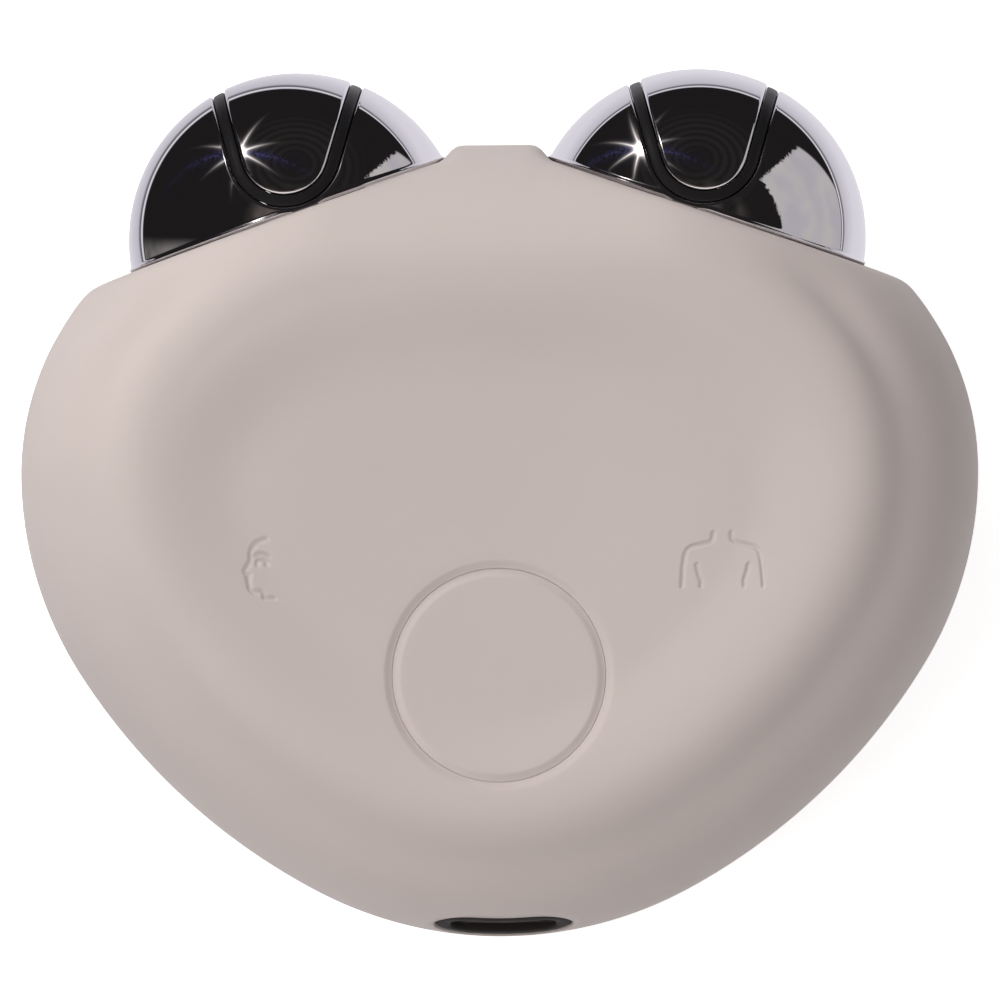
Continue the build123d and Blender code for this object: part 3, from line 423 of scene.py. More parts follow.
def refined_grid(surface, columns, rows, patches, finer):
    """Triangles of a grid closed around its columns, with some blocks of cells cut finer.

    surface(column, row) gives points for whole or broken grid numbers. Inside a block each cell is
    cut into the finer numbers of columns and rows. The cells beside a block are cut into fans that
    share its finer edge points, so that the mesh has no open edge."""
    thin, low = finer
    i, j = np.meshgrid(np.arange(columns), np.arange(rows))
    points = [surface(i.astype(float), j.astype(float)).reshape(-1, 3)]
    count = columns * rows
    plain = np.ones((rows - 1, columns), dtype=bool)
    faces = []
    for i0, i1, j0, j1 in patches:
        wide, high = (i1 - i0) * thin + 1, (j1 - j0) * low + 1
        fi, fj = np.meshgrid(np.arange(wide), np.arange(high))
        fine = surface(i0 + fi / thin, j0 + fj / low).reshape(-1, 3)
        number = (count + np.arange(wide * high)).reshape(high, wide)
        corner = (fi % thin == 0) & (fj % low == 0)
        corner &= (fi == 0) | (fi == wide - 1) | (fj == 0) | (fj == high - 1)
        shared = (j0 + fj // low) * columns + (i0 + fi // thin) % columns
        number = np.where(corner, shared, number)
        points.append(fine)
        count += wide * high
        a, b, c, d = number[:-1, :-1], number[:-1, 1:], number[1:, 1:], number[1:, :-1]
        faces.append(np.stack([a, b, c], -1).reshape(-1, 3))
        faces.append(np.stack([a, c, d], -1).reshape(-1, 3))
        plain[j0:j1, i0:i1] = False

        def at(column, row):
            return row * columns + column % columns

        across, up = np.arange(i0, i1), np.arange(j0, j1)
        # Each side gives the two coarse corners of its cells, the block's finer edge, whether that
        # edge runs backwards, and the cells' rows and columns.
        sides = (
            (at(across, j0 - 1), at(across + 1, j0 - 1), number[0, :], False, across * 0 + j0 - 1, across),
            (at(i1 + 1, up), at(i1 + 1, up + 1), number[:, -1], False, up, up * 0 + i1),
            (at(across + 1, j1 + 1), at(across, j1 + 1), number[-1, :], True, across * 0 + j1, across),
            (at(i0 - 1, up + 1), at(i0 - 1, up), number[:, 0], True, up, up * 0 + i0 - 1),
        )
        for first, second, edge, backwards, cell_row, cell_column in sides:
            cuts = (len(edge) - 1) // len(first)
            steps = np.arange(len(first))[:, None] * cuts + np.arange(cuts + 1)
            line = edge[steps]
            if backwards:
                line = line[:, ::-1]
            faces.append(np.stack([first, second, line[:, -1]], -1))
            pieces = np.stack([np.repeat(first[:, None], cuts, 1), line[:, 1:], line[:, :-1]], -1)
            faces.append(pieces.reshape(-1, 3))
            plain[cell_row, cell_column] = False
    jj, ii = np.nonzero(plain)
    a, b = jj * columns + ii, jj * columns + (ii + 1) % columns
    c, d = b + columns, a + columns
    faces.append(np.stack([a, b, c], 1))
    faces.append(np.stack([a, c, d], 1))
    return tidy(np.vstack(points), np.vstack(faces))


def tidy(points, faces):
    """Leaves out flat triangles with a repeated corner and points that no triangle uses."""
    good = (faces[:, 0] != faces[:, 1]) & (faces[:, 1] != faces[:, 2]) & (faces[:, 2] != faces[:, 0])
    faces = faces[good]
    used, numbers = np.unique(faces, return_inverse=True)
    return points[used], numbers.reshape(faces.shape)


def trimmed(points, faces, level):
    """Cuts a triangle mesh along level = 0 and keeps what lies above it.

    Points that lie close to the line are first moved onto it along a crossing edge. Then each
    triangle that still crosses is cut at its edges, in proportion to the two levels."""
    close = 0.3  # share of a crossing edge
    points = points.copy()
    value = level(points)

    def crossings():
        edges = np.unique(np.sort(faces[:, [0, 1, 1, 2, 2, 0]].reshape(-1, 2), axis=1), axis=0)
        a, b = edges[value[edges[:, 0]] * value[edges[:, 1]] < 0].T
        return a, b, value[a] / (value[a] - value[b])

    a, b, share = crossings()
    target = points[a] + share[:, None] * (points[b] - points[a])
    for near, which in ((share < close, a), (share > 1 - close, b)):
        points[which[near]] = target[near]
        value[which[near]] = 0.0
    a, b, share = crossings()
    new = points[a] + share[:, None] * (points[b] - points[a])
    key = a.astype(np.int64) * len(points) + b
    order = np.argsort(key)
    key, new = key[order], new[order]
    first_new = len(points)

    def number(ends, corner):
        """Point of one letter, or of the cut between two."""
        if len(corner) == 1:
            return ends[corner]
        p, q = ends[corner[0]], ends[corner[1]]
        low, high = np.minimum(p, q).astype(np.int64), np.maximum(p, q)
        return first_new + np.searchsorted(key, low * first_new + high)

    # Signs at a triangle's corners p, q and r, and the corners of a triangle that is kept of it.
    cases = (
        ((1, -1, -1), ("p", "pq", "pr")),
        ((-1, 1, 1), ("pq", "q", "r")),
        ((-1, 1, 1), ("pq", "r", "pr")),
        ((0, 1, -1), ("p", "q", "qr")),
        ((0, -1, 1), ("p", "qr", "r")),
    )
    sign = np.sign(value)[faces].astype(int)
    kept = [faces[(sign >= 0).all(1) & (sign > 0).any(1)]]
    for turn in range(3):
        face, mark = np.roll(faces, -turn, axis=1), np.roll(sign, -turn, axis=1)
        for signs, corners in cases:
            ends = dict(zip("pqr", face[(mark == signs).all(1)].T))
            kept.append(np.stack([number(ends, corner) for corner in corners], 1))
    return tidy(np.vstack([points, new]), np.vstack(kept))


def point_normals(points, faces):
    """Average direction of the triangles at each point, weighted by area."""
    corners = points[faces]
    across = np.cross(corners[:, 1] - corners[:, 0], corners[:, 2] - corners[:, 0])
    total = np.zeros_like(points)
    for k in range(3):
        np.add.at(total, faces[:, k], across)
    return total / np.maximum(np.linalg.norm(total, axis=1, keepdims=True), 1e-12)


def thickened(points, faces, thickness):
    """Closed wall: the surface, its copy moved inwards along the normals, and a rim between them.

    Returns points, faces and the number of the first rim face."""
    inner = points - point_normals(points, faces) * thickness
    edges = faces[:, [0, 1, 1, 2, 2, 0]].reshape(-1, 2)
    count = len(points)
    forward = edges[:, 0].astype(np.int64) * count + edges[:, 1]
    backward = edges[:, 1].astype(np.int64) * count + edges[:, 0]
    a, b = edges[~np.isin(forward, backward)].T
    rim = np.concatenate([np.stack([b, a, a + count], 1), np.stack([b, a + count, b + count], 1)])
    body = np.vstack([faces, faces[:, ::-1] + count])
    return np.vstack([points, inner]), np.vstack([body, rim]), len(body)


def joined(*parts):
    """Several point and face arrays as one."""
    points, faces, shift = [], [], 0
    for part_points, part_faces in parts:
        points.append(part_points)
        faces.append(part_faces + shift)
        shift += len(part_points)
    return np.vstack(points), np.vstack(faces)


# ---------------------------------------------------------------- materials
def principled(name, colour, roughness, metallic=0.0, **inputs):
    """New material with a Principled shader; its constants stand on the shader's own sockets."""
    material = bpy.data.materials.new(name)
    material.use_nodes = True
    shader = material.node_tree.nodes["Principled BSDF"]
    shader.inputs["Base Color"].default_value = (*colour, 1.0)
    shader.inputs["Roughness"].default_value = roughness
    shader.inputs["Metallic"].default_value = metallic
    for key, value in inputs.items():
        shader.inputs[key.replace("_", " ")].default_value = value
    return material, shader


def ramp_stops(ramp, stops):
    """Puts (position, colour) stops into a colour ramp."""
    for place, shade in stops[1:-1]:
        ramp.elements.new(place).color = (*shade, 1.0)
    ramp.elements[0].color = (*stops[0][1], 1.0)
    ramp.elements[-1].color = (*stops[-1][1], 1.0)
    ramp.elements[-1].position = stops[-1][0]


def node(tree, kind, *inputs, **settings):
    """New shader node with its settings; each input is a constant or the output that feeds it."""
    made = tree.nodes.new("ShaderNode" + kind)
    for key, value in settings.items():
        setattr(made, key, value)
    for k, value in enumerate(inputs):
        if isinstance(value, bpy.types.NodeSocket):
            tree.links.new(value, made.inputs[k])
        else:
            made.inputs[k].default_value = value
    return made


def calc(tree, operation, *inputs):
    """Result of a Math node."""
    return node(tree, "Math", *inputs, operation=operation).outputs[0]


def product(tree, *factors):
    """Product of several values."""
    total = factors[0]
    for factor in factors[1:]:
        total = calc(tree, "MULTIPLY", total, factor)
    return total


def dot(tree, way, direction):
    """Dot product of a direction and a constant one."""
    return node(tree, "VectorMath", way, direction, operation="DOT_PRODUCT").outputs["Value"]


def eased(tree, value, start, end):
    """Eased step from 0 at start to 1 at end."""
    return node(tree, "MapRange", value, start, end, interpolation_type="SMOOTHSTEP").outputs[0]


def blend(tree, share, first, second, kind="MIX"):
    """Two colours mixed, or the second added to the first, by a share."""
    mix = tree.nodes.new("ShaderNodeMix")
    mix.data_type = "RGBA"
    mix.blend_type = kind
    mix.clamp_factor = False
    for k, value in ((0, share), (6, first), (7, second)):
        if isinstance(value, bpy.types.NodeSocket):
            tree.links.new(value, mix.inputs[k])
        else:
            mix.inputs[k].default_value = (*value, 1.0)
    return mix.outputs[2]


def noise(tree, place, size, detail=3.0):
    """Noise from 0 to 1 with grains of a size."""
    made = tree.nodes.new("ShaderNodeTexNoise")
    made.inputs["Scale"].default_value = 1.0 / size
    made.inputs["Detail"].default_value = detail
    tree.links.new(place, made.inputs["Vector"])
    return made.outputs["Fac"]


def grain(material, shader, colour, tint, tint_size, rough, rough_size, bumps):
    """Colour, roughness and fine relief from noise on Object coordinates.

    The colour varies by the share tint and the roughness over the range rough, with grains of their
    own sizes. Each bump has a grain size, a height and a strength. Sizes are in metres."""
    usual_noise = (0.3, 0.7)
    tree = material.node_tree
    place = tree.nodes.new("ShaderNodeTexCoord").outputs["Object"]
    darker, lighter = ([min(1.0, c * shade) for c in colour] for shade in (1 - tint, 1 + tint))
    tree.links.new(blend(tree, noise(tree, place, tint_size), darker, lighter), shader.inputs["Base Color"])
    spread = node(tree, "MapRange", noise(tree, place, rough_size, 5.0), *usual_noise, *rough)
    tree.links.new(spread.outputs["Result"], shader.inputs["Roughness"])
    target = shader
    for size, height, strength in reversed(bumps):
        bump = tree.nodes.new("ShaderNodeBump")
        bump.inputs["Strength"].default_value = strength
        bump.inputs["Distance"].default_value = height
        tree.links.new(noise(tree, place, size, 2.0), bump.inputs["Height"])
        tree.links.new(bump.outputs["Normal"], target.inputs["Normal"])
        target = bump
    return material


def silicone(name, colour):
    """Soft-touch silicone: matt, with a faint sheen and a fine powdery grain."""
    sheen = {"Specular_IOR_Level": 0.35, "Sheen_Weight": 0.12, "Sheen_Roughness": 0.5}
    material, shader = principled(name, colour, 0.6, **sheen)
    bumps = ((0.00035, 0.000012, 0.5), (0.006, 0.00006, 0.25))
    return grain(material, shader, colour, 0.022, 0.016, (0.54, 0.66), 0.003, bumps)


def chrome(name, colour):
    """Mirror-polished metal with a trace of buffing haze."""
    material, shader = principled(name, colour, 0.03, 1.0)
    return grain(material, shader, colour, 0.015, 0.01, (0.015, 0.04), 0.0025, ((0.0011, 0.0000012, 0.4),))


def moulded(name, colour, rough=(0.4, 0.5), size=0.0004, height=0.00001, gloss=0.4):
    """Moulded plastic or rubber with a fine spark-eroded texture."""
    material, shader = principled(name, colour, rough[0], Specular_IOR_Level=gloss)
    return grain(material, shader, colour, 0.05, 0.008, rough, 0.002, ((size, height, 0.6),))


def metal(name, colour, rough=(0.25, 0.38), size=0.0006):
    """Plated or turned metal with a fine brushed relief."""
    material, shader = principled(name, colour, rough[0], 1.0)
    return grain(material, shader, colour, 0.06, 0.003, rough, 0.0015, ((size, 0.000008, 0.5),))


def repaint(piece, material):
    """Gives a CAD piece a new material without touching its mesh."""
    for holder in piece.material_slots:
        holder.material = material


# ---------------------------------------------------------------- skins and pad
class Sheet:
    """A half of the casing as a function of two grid numbers: around the outline and inwards.

    The rise is 1 for the front half and -1 for the back half."""

    columns = 420
    wall_reach = 7.0  # how far inwards the wall goes past the rounded edge
    wall_yield = 0.5  # how fast it gets there with the room beside the pad
    parting_height = 0.3  # rounding beside the parting line
    parting_depth = 0.16
    parting_end = 0.99  # just under 1, so that the rounding doesn't end upright
    cove_start = (1.0, 3.5)  # insets between which the cove sets in

    def __init__(self, form, rise):
        self.form = form
        self.rise = rise
        self.edge_rows = np.radians(
            np.concatenate([[0.0, 0.35, 0.8, 1.4, 2.2, 3.4], np.linspace(5.0, 90.0, 33)])
        )
        self.wall_rows = np.linspace(0.0, 1.0, 15)[1:]
        self.floor_rows = np.linspace(0.0, 1.0, 21 if rise > 0 else 14)[1:]
        self.rim_rows = np.linspace(0.0, 1.0, 11)[1:] if rise > 0 else np.zeros(0)
        if rise < 0:
            self.floor_rows = self.floor_rows[:-1]
        sections = (self.edge_rows, self.wall_rows, self.floor_rows, self.rim_rows)
        self.counts = np.cumsum([len(rows) for rows in sections])
        self.rows = self.counts[-1]

    def __call__(self, column, row):
        """Point for grid numbers.

        The rounded edge is a quarter ellipse that is walked by its angle. The wall goes on inwards at
        right angles to the outline, less far where the pad is near. The floor runs straight from the
        wall's foot to the pad's valley, or to the middle of the back, and the last rows cross the
        valley."""
        form = self.form
        share = (column / self.columns * 2.0) % 2.0
        share = np.where(share > 1.0, share - 2.0, share)
        outline, inward = form.outline(share)
        run = form.c_edge_run
        walk = np.interp(row, np.arange(self.counts[0]), self.edge_rows)
        inset = run * (1 - np.cos(walk))
        flat = outline + inward * inset[..., None]
        wall = self.passed(row, 0, self.wall_rows)
        if self.rise > 0:
            middle = np.array([0.0, form.p_middle])
            hole = form.p_radius + form.p_gap
            room = np.linalg.norm(outline + inward * run - middle, axis=-1) - hole - form.p_edge
            reach = self.wall_reach * (1 - np.exp(-self.wall_yield * room / self.wall_reach))
            flat = flat + inward * (wall * reach)[..., None]
            way = flat - middle
            away = np.linalg.norm(way, axis=-1)
            floor = self.passed(row, 1, self.floor_rows)
            rim = self.passed(row, 2, self.rim_rows)
            wanted = away + (hole + form.p_edge - away) * floor - form.p_edge * rim
            flat = middle + way * (wanted / away)[..., None]
        else:
            flat = flat + inward * (wall * self.wall_reach)[..., None]
            flat = flat * (1 - self.passed(row, 1, self.floor_rows))[..., None]
        up = form.mid * np.sin(walk)
        points = np.concatenate([flat, up[..., None]], -1)

        # Parting line: the edge rounds inwards just before the middle of the depth.
        near = np.clip(1 - up / self.parting_height, 0.0, 1.0)
        drawn_in = self.parting_depth * (1 - np.sqrt(1 - near**2 * self.parting_end))
        points[..., :2] += inward * drawn_in[..., None]

        # Cove: the rounded edge sinks along its own normal.
        across, lift = np.cos(walk) / run, np.sin(walk) / form.mid
        size = np.hypot(across, lift)
        depth = form.cove(inset, share) * smooth(inset, *self.cove_start) * (self.rise > 0)
        points[..., :2] += inward * (depth * across / size)[..., None]
        points[..., 2] -= depth * lift / size

        if self.rise > 0:
            x, y = points[..., 0], points[..., 1]
            inside = row > self.counts[0] - 1.5
            face = form.face(x, y) - form.mid
            away = np.hypot(x, y - form.p_middle) - form.p_radius - form.p_gap
            face = face - form.pad_edge(np.maximum(away, 0.0)) - pictogram_drop(form, x, y)
            points[..., 2] = np.where(inside, face, points[..., 2])
        points[..., 2] = form.mid + self.rise * points[..., 2]
        return form.seated(points)

    def whole(self):
        """Points of every whole grid number, by row and column."""
        i, j = np.meshgrid(np.arange(self.columns), np.arange(self.rows))
        return self(i.astype(float), j.astype(float))

    def passed(self, row, section, rows):
        """Share of a section of rows that lies behind a row number."""
        start, end = self.counts[section] - 1, self.counts[section + 1]
        return np.interp(row, np.arange(start, end), np.append(0.0, rows))


def ball_level(form, side):
    """Signed distance outside the room for a dome."""
    centre, _, _ = form.dome_frame(side)
    return lambda points: np.linalg.norm(points - centre, axis=1) - form.d_radius - form.d_gap


def port_level(form):
    """Signed distance outside the port's rounded slot, at the chin only."""
    chin_side = -15.0

    def level(points):
        half = (form.o_width - form.o_height) / 2
        x = np.maximum(np.abs(points[:, 0]) - half, 0.0)
        away = np.hypot(x, points[:, 2] - form.o_middle) - form.o_height / 2 - form.o_gap
        return np.where(points[:, 1] < chin_side, away, FAR)

    return level


def pictogram_blocks(sheet):
    """Blocks of grid cells that hold the pictograms."""
    margin = 0.5
    points = sheet.whole()[..., :2]
    blocks = []
    for middle, strokes in PICTOGRAMS:
        ends = np.vstack(strokes) + middle
        inside = ((points > ends.min(0) - margin) & (points < ends.max(0) + margin)).all(-1)
        rows, columns = np.nonzero(inside)
        blocks.append((columns.min() - 1, columns.max() + 1, rows.min() - 1, rows.max() + 1))
    return blocks


class MakeFrontSkin(bpy.types.Operator):
    """Front skin with its dish, ridge, cove, dome seats, pad groove and pictograms"""

    bl_idname = "toning.front_skin"
    bl_label = "Front skin"
    pictogram_cuts = (2, 6)  # of a grid cell, along its columns and rows

    def execute(self, context):
        form = Form(context.scene)
        sheet = Sheet(form, 1)
        blocks = pictogram_blocks(sheet)
        points, faces = refined_grid(sheet, sheet.columns, sheet.rows, blocks, self.pictogram_cuts)
        for side in SIDES.values():
            points, faces = trimmed(points, faces, ball_level(form, side))
        points, faces = trimmed(points, faces, port_level(form))
        points, faces, rim = thickened(points, faces, form.c_skin)
        material = silicone("silicone_skin", context.scene.colours.silicone)
        piece = new_piece("front_skin_piece", points, faces, material, rim)
        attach(piece, "casing")
        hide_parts("front_skin")

        # Groove's wall and floor: a closed profile carried around the pad.
        count = 240
        turn = circle(count)
        hole = form.p_radius + form.p_gap
        wall, under_face, corner = 0.8, 0.6, 0.25
        outside = hole + wall
        lip = hole - form.p_lip_reach
        floor = form.p_lip_top
        bottom = floor - form.p_lip
        top = form.face(hole * np.cos(turn), form.p_middle + hole * np.sin(turn))
        top = top - form.p_edge_drop - under_face
        profile = (
            (hole, top), (hole, floor + corner), (hole - 0.07, floor + 0.07), (hole - corner, floor),
            (lip + 0.1, floor), (lip, floor - 0.1), (lip, bottom), (outside, bottom), (outside, top),
        )
        rings = [
            np.stack([radius * np.cos(turn), form.p_middle + radius * np.sin(turn), high + 0 * turn], 1)
            for radius, high in profile
        ]
        ring_points = np.vstack(rings)
        ring_faces = strip_faces(count, len(rings), out=False)
        closing = strip_faces(count, 2, out=False)
        closing = np.where(closing < count, closing + (len(rings) - 1) * count, closing - count)
        groove = new_piece("groove_floor", ring_points, np.vstack([ring_faces, closing]), material)
        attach(groove, "casing")
        return {"FINISHED"}


class MakeRearSkin(bpy.types.Operator):
    """Rear skin: the rounded back with a flat that the device lies on"""

    bl_idname = "toning.rear_skin"
    bl_label = "Rear skin"

    def execute(self, context):
        form = Form(context.scene)
        sheet = Sheet(form, -1)
        points = sheet.whole().reshape(-1, 3)
        faces = strip_faces(sheet.columns, sheet.rows, out=False)
        ring = np.arange(sheet.columns) + (sheet.rows - 1) * sheet.columns
        points = np.vstack([points, [[0.0, 0.0, 0.0]]])
        faces = np.vstack([faces, fan_faces(ring, len(points) - 1, out=False)])
        for side in SIDES.values():
            points, faces = trimmed(points, faces, ball_level(form, side))
        points, faces, rim = thickened(points, faces, form.c_skin)
        piece = new_piece("rear_skin_piece", points, faces, bpy.data.materials["silicone_skin"], rim)
        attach(piece, "casing")
        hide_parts("rear_skin")
        return {"FINISHED"}


class MakePad(bpy.types.Operator):
    """Press pad, flush with the face, with soft edges"""

    bl_idname = "toning.press_pad"
    bl_label = "Press pad"

    def execute(self, context):
        form = Form(context.scene)
        count = 216
        turn = circle(count)
        flat = form.p_radius - form.p_edge
        steps = np.concatenate([np.linspace(0.0, flat, 18)[1:-1], np.linspace(flat, form.p_radius, 12)])
        x = steps[:, None] * np.cos(turn)
        y = form.p_middle + steps[:, None] * np.sin(turn)
        z = form.face(x, y) - form.pad_edge(form.p_radius - steps)[:, None]
        top = np.stack([x, y, z], -1).reshape(-1, 3)
        wall = top[-count:].copy()
        wall[:, 2] = form.p_base
        middle = [[0.0, form.p_middle, float(form.face(np.zeros(1), np.full(1, form.p_middle))[0])]]
        points = np.vstack([top, wall, middle, [[0.0, form.p_middle, form.p_base]]])
        rows = len(steps) + 1
        ring = np.arange(count)
        upper = fan_faces(ring, rows * count)
        lower = fan_faces(ring + (rows - 1) * count, rows * count + 1, out=False)
        faces = np.vstack([strip_faces(count, rows, out=False), upper, lower])
        material = silicone("silicone_pad", context.scene.colours.pad)
        piece = new_piece("press_pad", points, faces, material)
        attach(piece, "button")
        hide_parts("button_cap")
        return {"FINISHED"}


# ---------------------------------------------------------------- domes
def seam_loop(form, side, offset, sink, round_count=72, side_count=188):
    """Closed loop on a ball at a distance from the seam's middle and below the ball's surface.

    The round end is an arc carried straight back, so its points are the arc's own with the ball's
    height over them. Each flared side is a flat that cuts the ball in a circle: its points are the
    circle's middle plus its radius times cosine along the flat and sine along the depth."""
    centre, _, _ = form.dome_frame(side)
    radius = form.d_radius - sink
    flare = form.d_tongue_flare
    end = np.array([side * form.d_tongue_side, form.d_tongue_rise])
    reach = form.d_tongue_radius + offset
    angles = np.linspace(-flare, -np.pi + flare, round_count)
    round_x = end[0] + reach * np.cos(angles)
    round_y = end[1] + reach * np.sin(angles)
    depth = np.sqrt(radius**2 - round_x**2 - round_y**2)
    front = np.stack([round_x, round_y, depth], 1)

    def side_arc(mirror):
        out = np.array([math.cos(flare) * mirror, -math.sin(flare)])
        along = np.array([math.sin(flare) * mirror, math.cos(flare)])
        foot = end + reach * out
        middle = (foot @ out) * out
        ring = math.sqrt(radius**2 - (foot @ out) ** 2)
        start = math.acos((foot @ along) / ring)
        turn = np.linspace(-start, start, side_count + 2)[1:-1]
        flat = middle + ring * np.cos(turn)[:, None] * along
        return np.column_stack([flat, ring * np.sin(turn)])

    right, left = side_arc(1.0), side_arc(-1.0)
    loop = np.vstack([front, left[::-1], front[::-1] * [1, 1, -1], right])
    return loop + centre


def ball_grid(form, side, radius, step):
    """Ball around a dome's axis: rings of even steps from the top to past the skirt.

    The top is closed, and the outer ball has close rings along the rolled edge above the seat."""
    past_skirt, roll_above, roll_below, ring_gap = 0.6, 0.75, -0.3, 0.004
    centre, sideways, axis = form.dome_frame(side)
    around = int(2 * np.pi * radius / step)
    down = int(1.7 * radius / step)
    lowest = math.acos(-(form.d_skirt + past_skirt) / radius)
    tilt = np.linspace(0.0, lowest, down)[1:]
    if radius == form.d_radius:
        rolled = np.arccos((form.d_seat + np.linspace(roll_above, roll_below, 20)) / radius)
        before, after = tilt[tilt < rolled[0] - ring_gap], tilt[tilt > rolled[-1] + ring_gap]
        tilt = np.concatenate([before, rolled, after])
    across = spokes(around, sideways, axis)
    points = np.sin(tilt)[:, None, None] * across + np.cos(tilt)[:, None, None] * axis
    points = np.vstack([points.reshape(-1, 3), [axis]]) * radius
    top = fan_faces(np.arange(around), len(points) - 1)
    return points + centre, np.vstack([strip_faces(around, len(tilt), out=False), top])


def on_ball(form, side, points, radius):
    """Moves points straight out from a dome's centre onto a ball.

    The outer ball has a rolled edge above the seat: a bell across the height along the axis, which
    fades out beside the seam."""
    bell_middle, bell_width, bell_fade = 0.22, 0.17, 0.25
    centre, _, axis = form.dome_frame(side)
    away = points - centre
    away = away / np.linalg.norm(away, axis=1, keepdims=True) * radius
    if radius == form.d_radius:
        bell = np.exp(-(((away @ axis - form.d_seat - bell_middle) / bell_width) ** 2))
        edge = form.d_seam / 2 + form.d_seam_gap + form.d_lip
        clear = smooth(form.seam_distance(side, points[:, 0], points[:, 1]), edge, edge + bell_fade)
        away = away * (1 + form.d_bead * bell * clear / radius)[:, None]
    return centre + away


def ball_part(form, side, level, skirt):
    """Outer and inner ball surfaces of a shell where level is positive, above the skirt."""
    fine, coarse = 0.24, 0.6
    centre, _, axis = form.dome_frame(side)
    parts = []
    for radius, step, out in ((form.d_radius, fine, True), (form.d_radius - form.d_wall, coarse, False)):
        points, faces = ball_grid(form, side, radius, step)
        points, faces = trimmed(points, faces, level)
        if skirt:
            points, faces = trimmed(points, faces, lambda p: (p - centre) @ axis + form.d_skirt)
        points = on_ball(form, side, points, radius)
        parts.append((points, faces if out else faces[:, ::-1]))
    return parts


def lip_strip(form, side, sign):
    """Rounded edge of the chrome beside the seam and the wall below it, down to the inner ball.

    The profile is a quarter circle from the ball's surface to the wall; it is carried along the
    seam's loop by offset and depth. The sign is 1 for the shell and -1 for the tongue."""
    inner = form.d_seam / 2 + form.d_seam_gap
    rounds = np.radians(np.linspace(90, 0, 9))
    offsets = list(inner + form.d_lip * (1 - np.cos(rounds))) + [inner]
    sinks = list(form.d_lip * (1 - np.sin(rounds))) + [form.d_wall]
    loops = [seam_loop(form, side, sign * offset, sink) for offset, sink in zip(offsets, sinks)]
    return np.vstack(loops), strip_faces(len(loops[0]), len(loops), out=sign > 0)


class MakeDomes(bpy.types.Operator):
    """Polished dome shells and tongues with rounded seam edges, and the black gaskets between them"""

    bl_idname = "toning.domes"
    bl_label = "Domes"

    def execute(self, context):
        form = Form(context.scene)
        polished = chrome("dome_chrome", context.scene.colours.chrome)
        rubber = moulded("black_rubber", context.scene.colours.rubber, (0.30, 0.42), gloss=0.2)
        edge = form.d_seam / 2 + form.d_seam_gap + form.d_lip
        for name, side in SIDES.items():
            for part, node_part, sign in (("shell", "shell", 1.0), ("tongue", "insert", -1.0)):

                def level(points, side=side, sign=sign):
                    return sign * form.seam_distance(side, points[:, 0], points[:, 1]) - edge

                parts = ball_part(form, side, level, part == "shell")
                parts.append(lip_strip(form, side, sign))
                if part == "shell":
                    parts.append(self.skirt_rim(form, side))
                piece = new_piece(f"{name}_dome_{part}_piece", *joined(*parts), polished)
                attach(piece, "casing")
                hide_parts(f"{name}_dome_{node_part}")
            half, recess, foot = form.d_seam / 2, form.d_seam_recess, 1.4
            right = [
                (half, foot), (half, recess + 0.12), (half - 0.05, recess + 0.04), (half - 0.16, recess),
            ]
            left = [(-offset, sink) for offset, sink in reversed(right)]
            profile = [*right, (0.0, recess - 0.02), *left, right[0]]
            loops = [seam_loop(form, side, offset, sink) for offset, sink in profile]
            faces = strip_faces(len(loops[0]), len(loops))
            gasket = new_piece(f"{name}_gasket_piece", np.vstack(loops), faces, rubber)
            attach(gasket, "casing")
            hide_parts(f"{name}_dome_gasket")
        return {"FINISHED"}

    def skirt_rim(self, form, side):
        """Flat ring that closes the shell's lower edge between the inner and the outer ball."""
        centre, sideways, axis = form.dome_frame(side)
        across = spokes(360, sideways, axis)
        rings = []
        for radius in (form.d_radius, form.d_radius - form.d_wall):
            rings.append(centre - axis * form.d_skirt + across * math.sqrt(radius**2 - form.d_skirt**2))
        return np.vstack(rings), strip_faces(len(across), 2, out=False)


# ---------------------------------------------------------------- charging port
class MakePort(bpy.types.Operator):
    """Black bezel of the charging port, which follows the chin's curve"""

    bl_idname = "toning.port"
    bl_label = "Charging port"

    def execute(self, context):
        form = Form(context.scene)
        count = 220
        turn = circle(count)
        slot = self.slot(turn, form.o_width, form.o_height, form.o_height / 2)
        hole = self.slot(turn, form.o_opening_width, form.o_opening_height, form.o_opening_corner)
        # Share of the way from the hole to the rim, and how far in from the chin's curve.
        profile = [
            (0.0, 3.4), (0.0, 0.55), (0.03, 0.36), (0.10, 0.22), (0.22, 0.16), (0.5, 0.12), (0.80, 0.12),
            (0.90, 0.15), (0.965, 0.24), (1.0, 0.42), (1.0, 3.4),
        ]
        rings = []
        for share, depth in profile:
            flat = hole + (slot - hole) * share
            y = self.chin_curve(form, flat[:, 0], flat[:, 1]) + depth
            rings.append(np.stack([flat[:, 0], y, form.o_middle + flat[:, 1]], 1))
        rings.append(rings[0])
        faces = strip_faces(count, len(rings), out=False)
        black = context.scene.colours.port
        material = moulded("port_black", black, (0.5, 0.6), 0.0003, 0.000006, gloss=0.06)
        piece = new_piece("port_bezel_piece", np.vstack(rings), faces, material)
        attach(piece, "casing")
        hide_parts("port_bezel")
        return {"FINISHED"}

    def slot(self, turn, width, height, corner):
        """Rounded rectangle by angle: the corner circles' middles plus the corner radius outwards."""
        crossing = 8.0  # how fast the middles change sides where the angle crosses an axis
        c, s = np.cos(turn), np.sin(turn)
        x = np.clip(c * crossing, -1, 1) * (width / 2 - corner)
        y = np.clip(s * crossing, -1, 1) * max(height / 2 - corner, 0.0)
        return np.stack([x + corner * c, y + corner * s], 1)

    def chin_curve(self, form, x, high):
        """Front-to-back place of the chin's surface: the chin arc, drawn in by the edge's ellipse."""
        rise = (form.o_middle + high - form.mid) / form.mid
        pull = form.c_edge_run * (1 - np.sqrt(1 - rise**2))
        radius = form.radius[0]
        return form.chin + radius - np.sqrt((radius - pull) ** 2 - x**2)


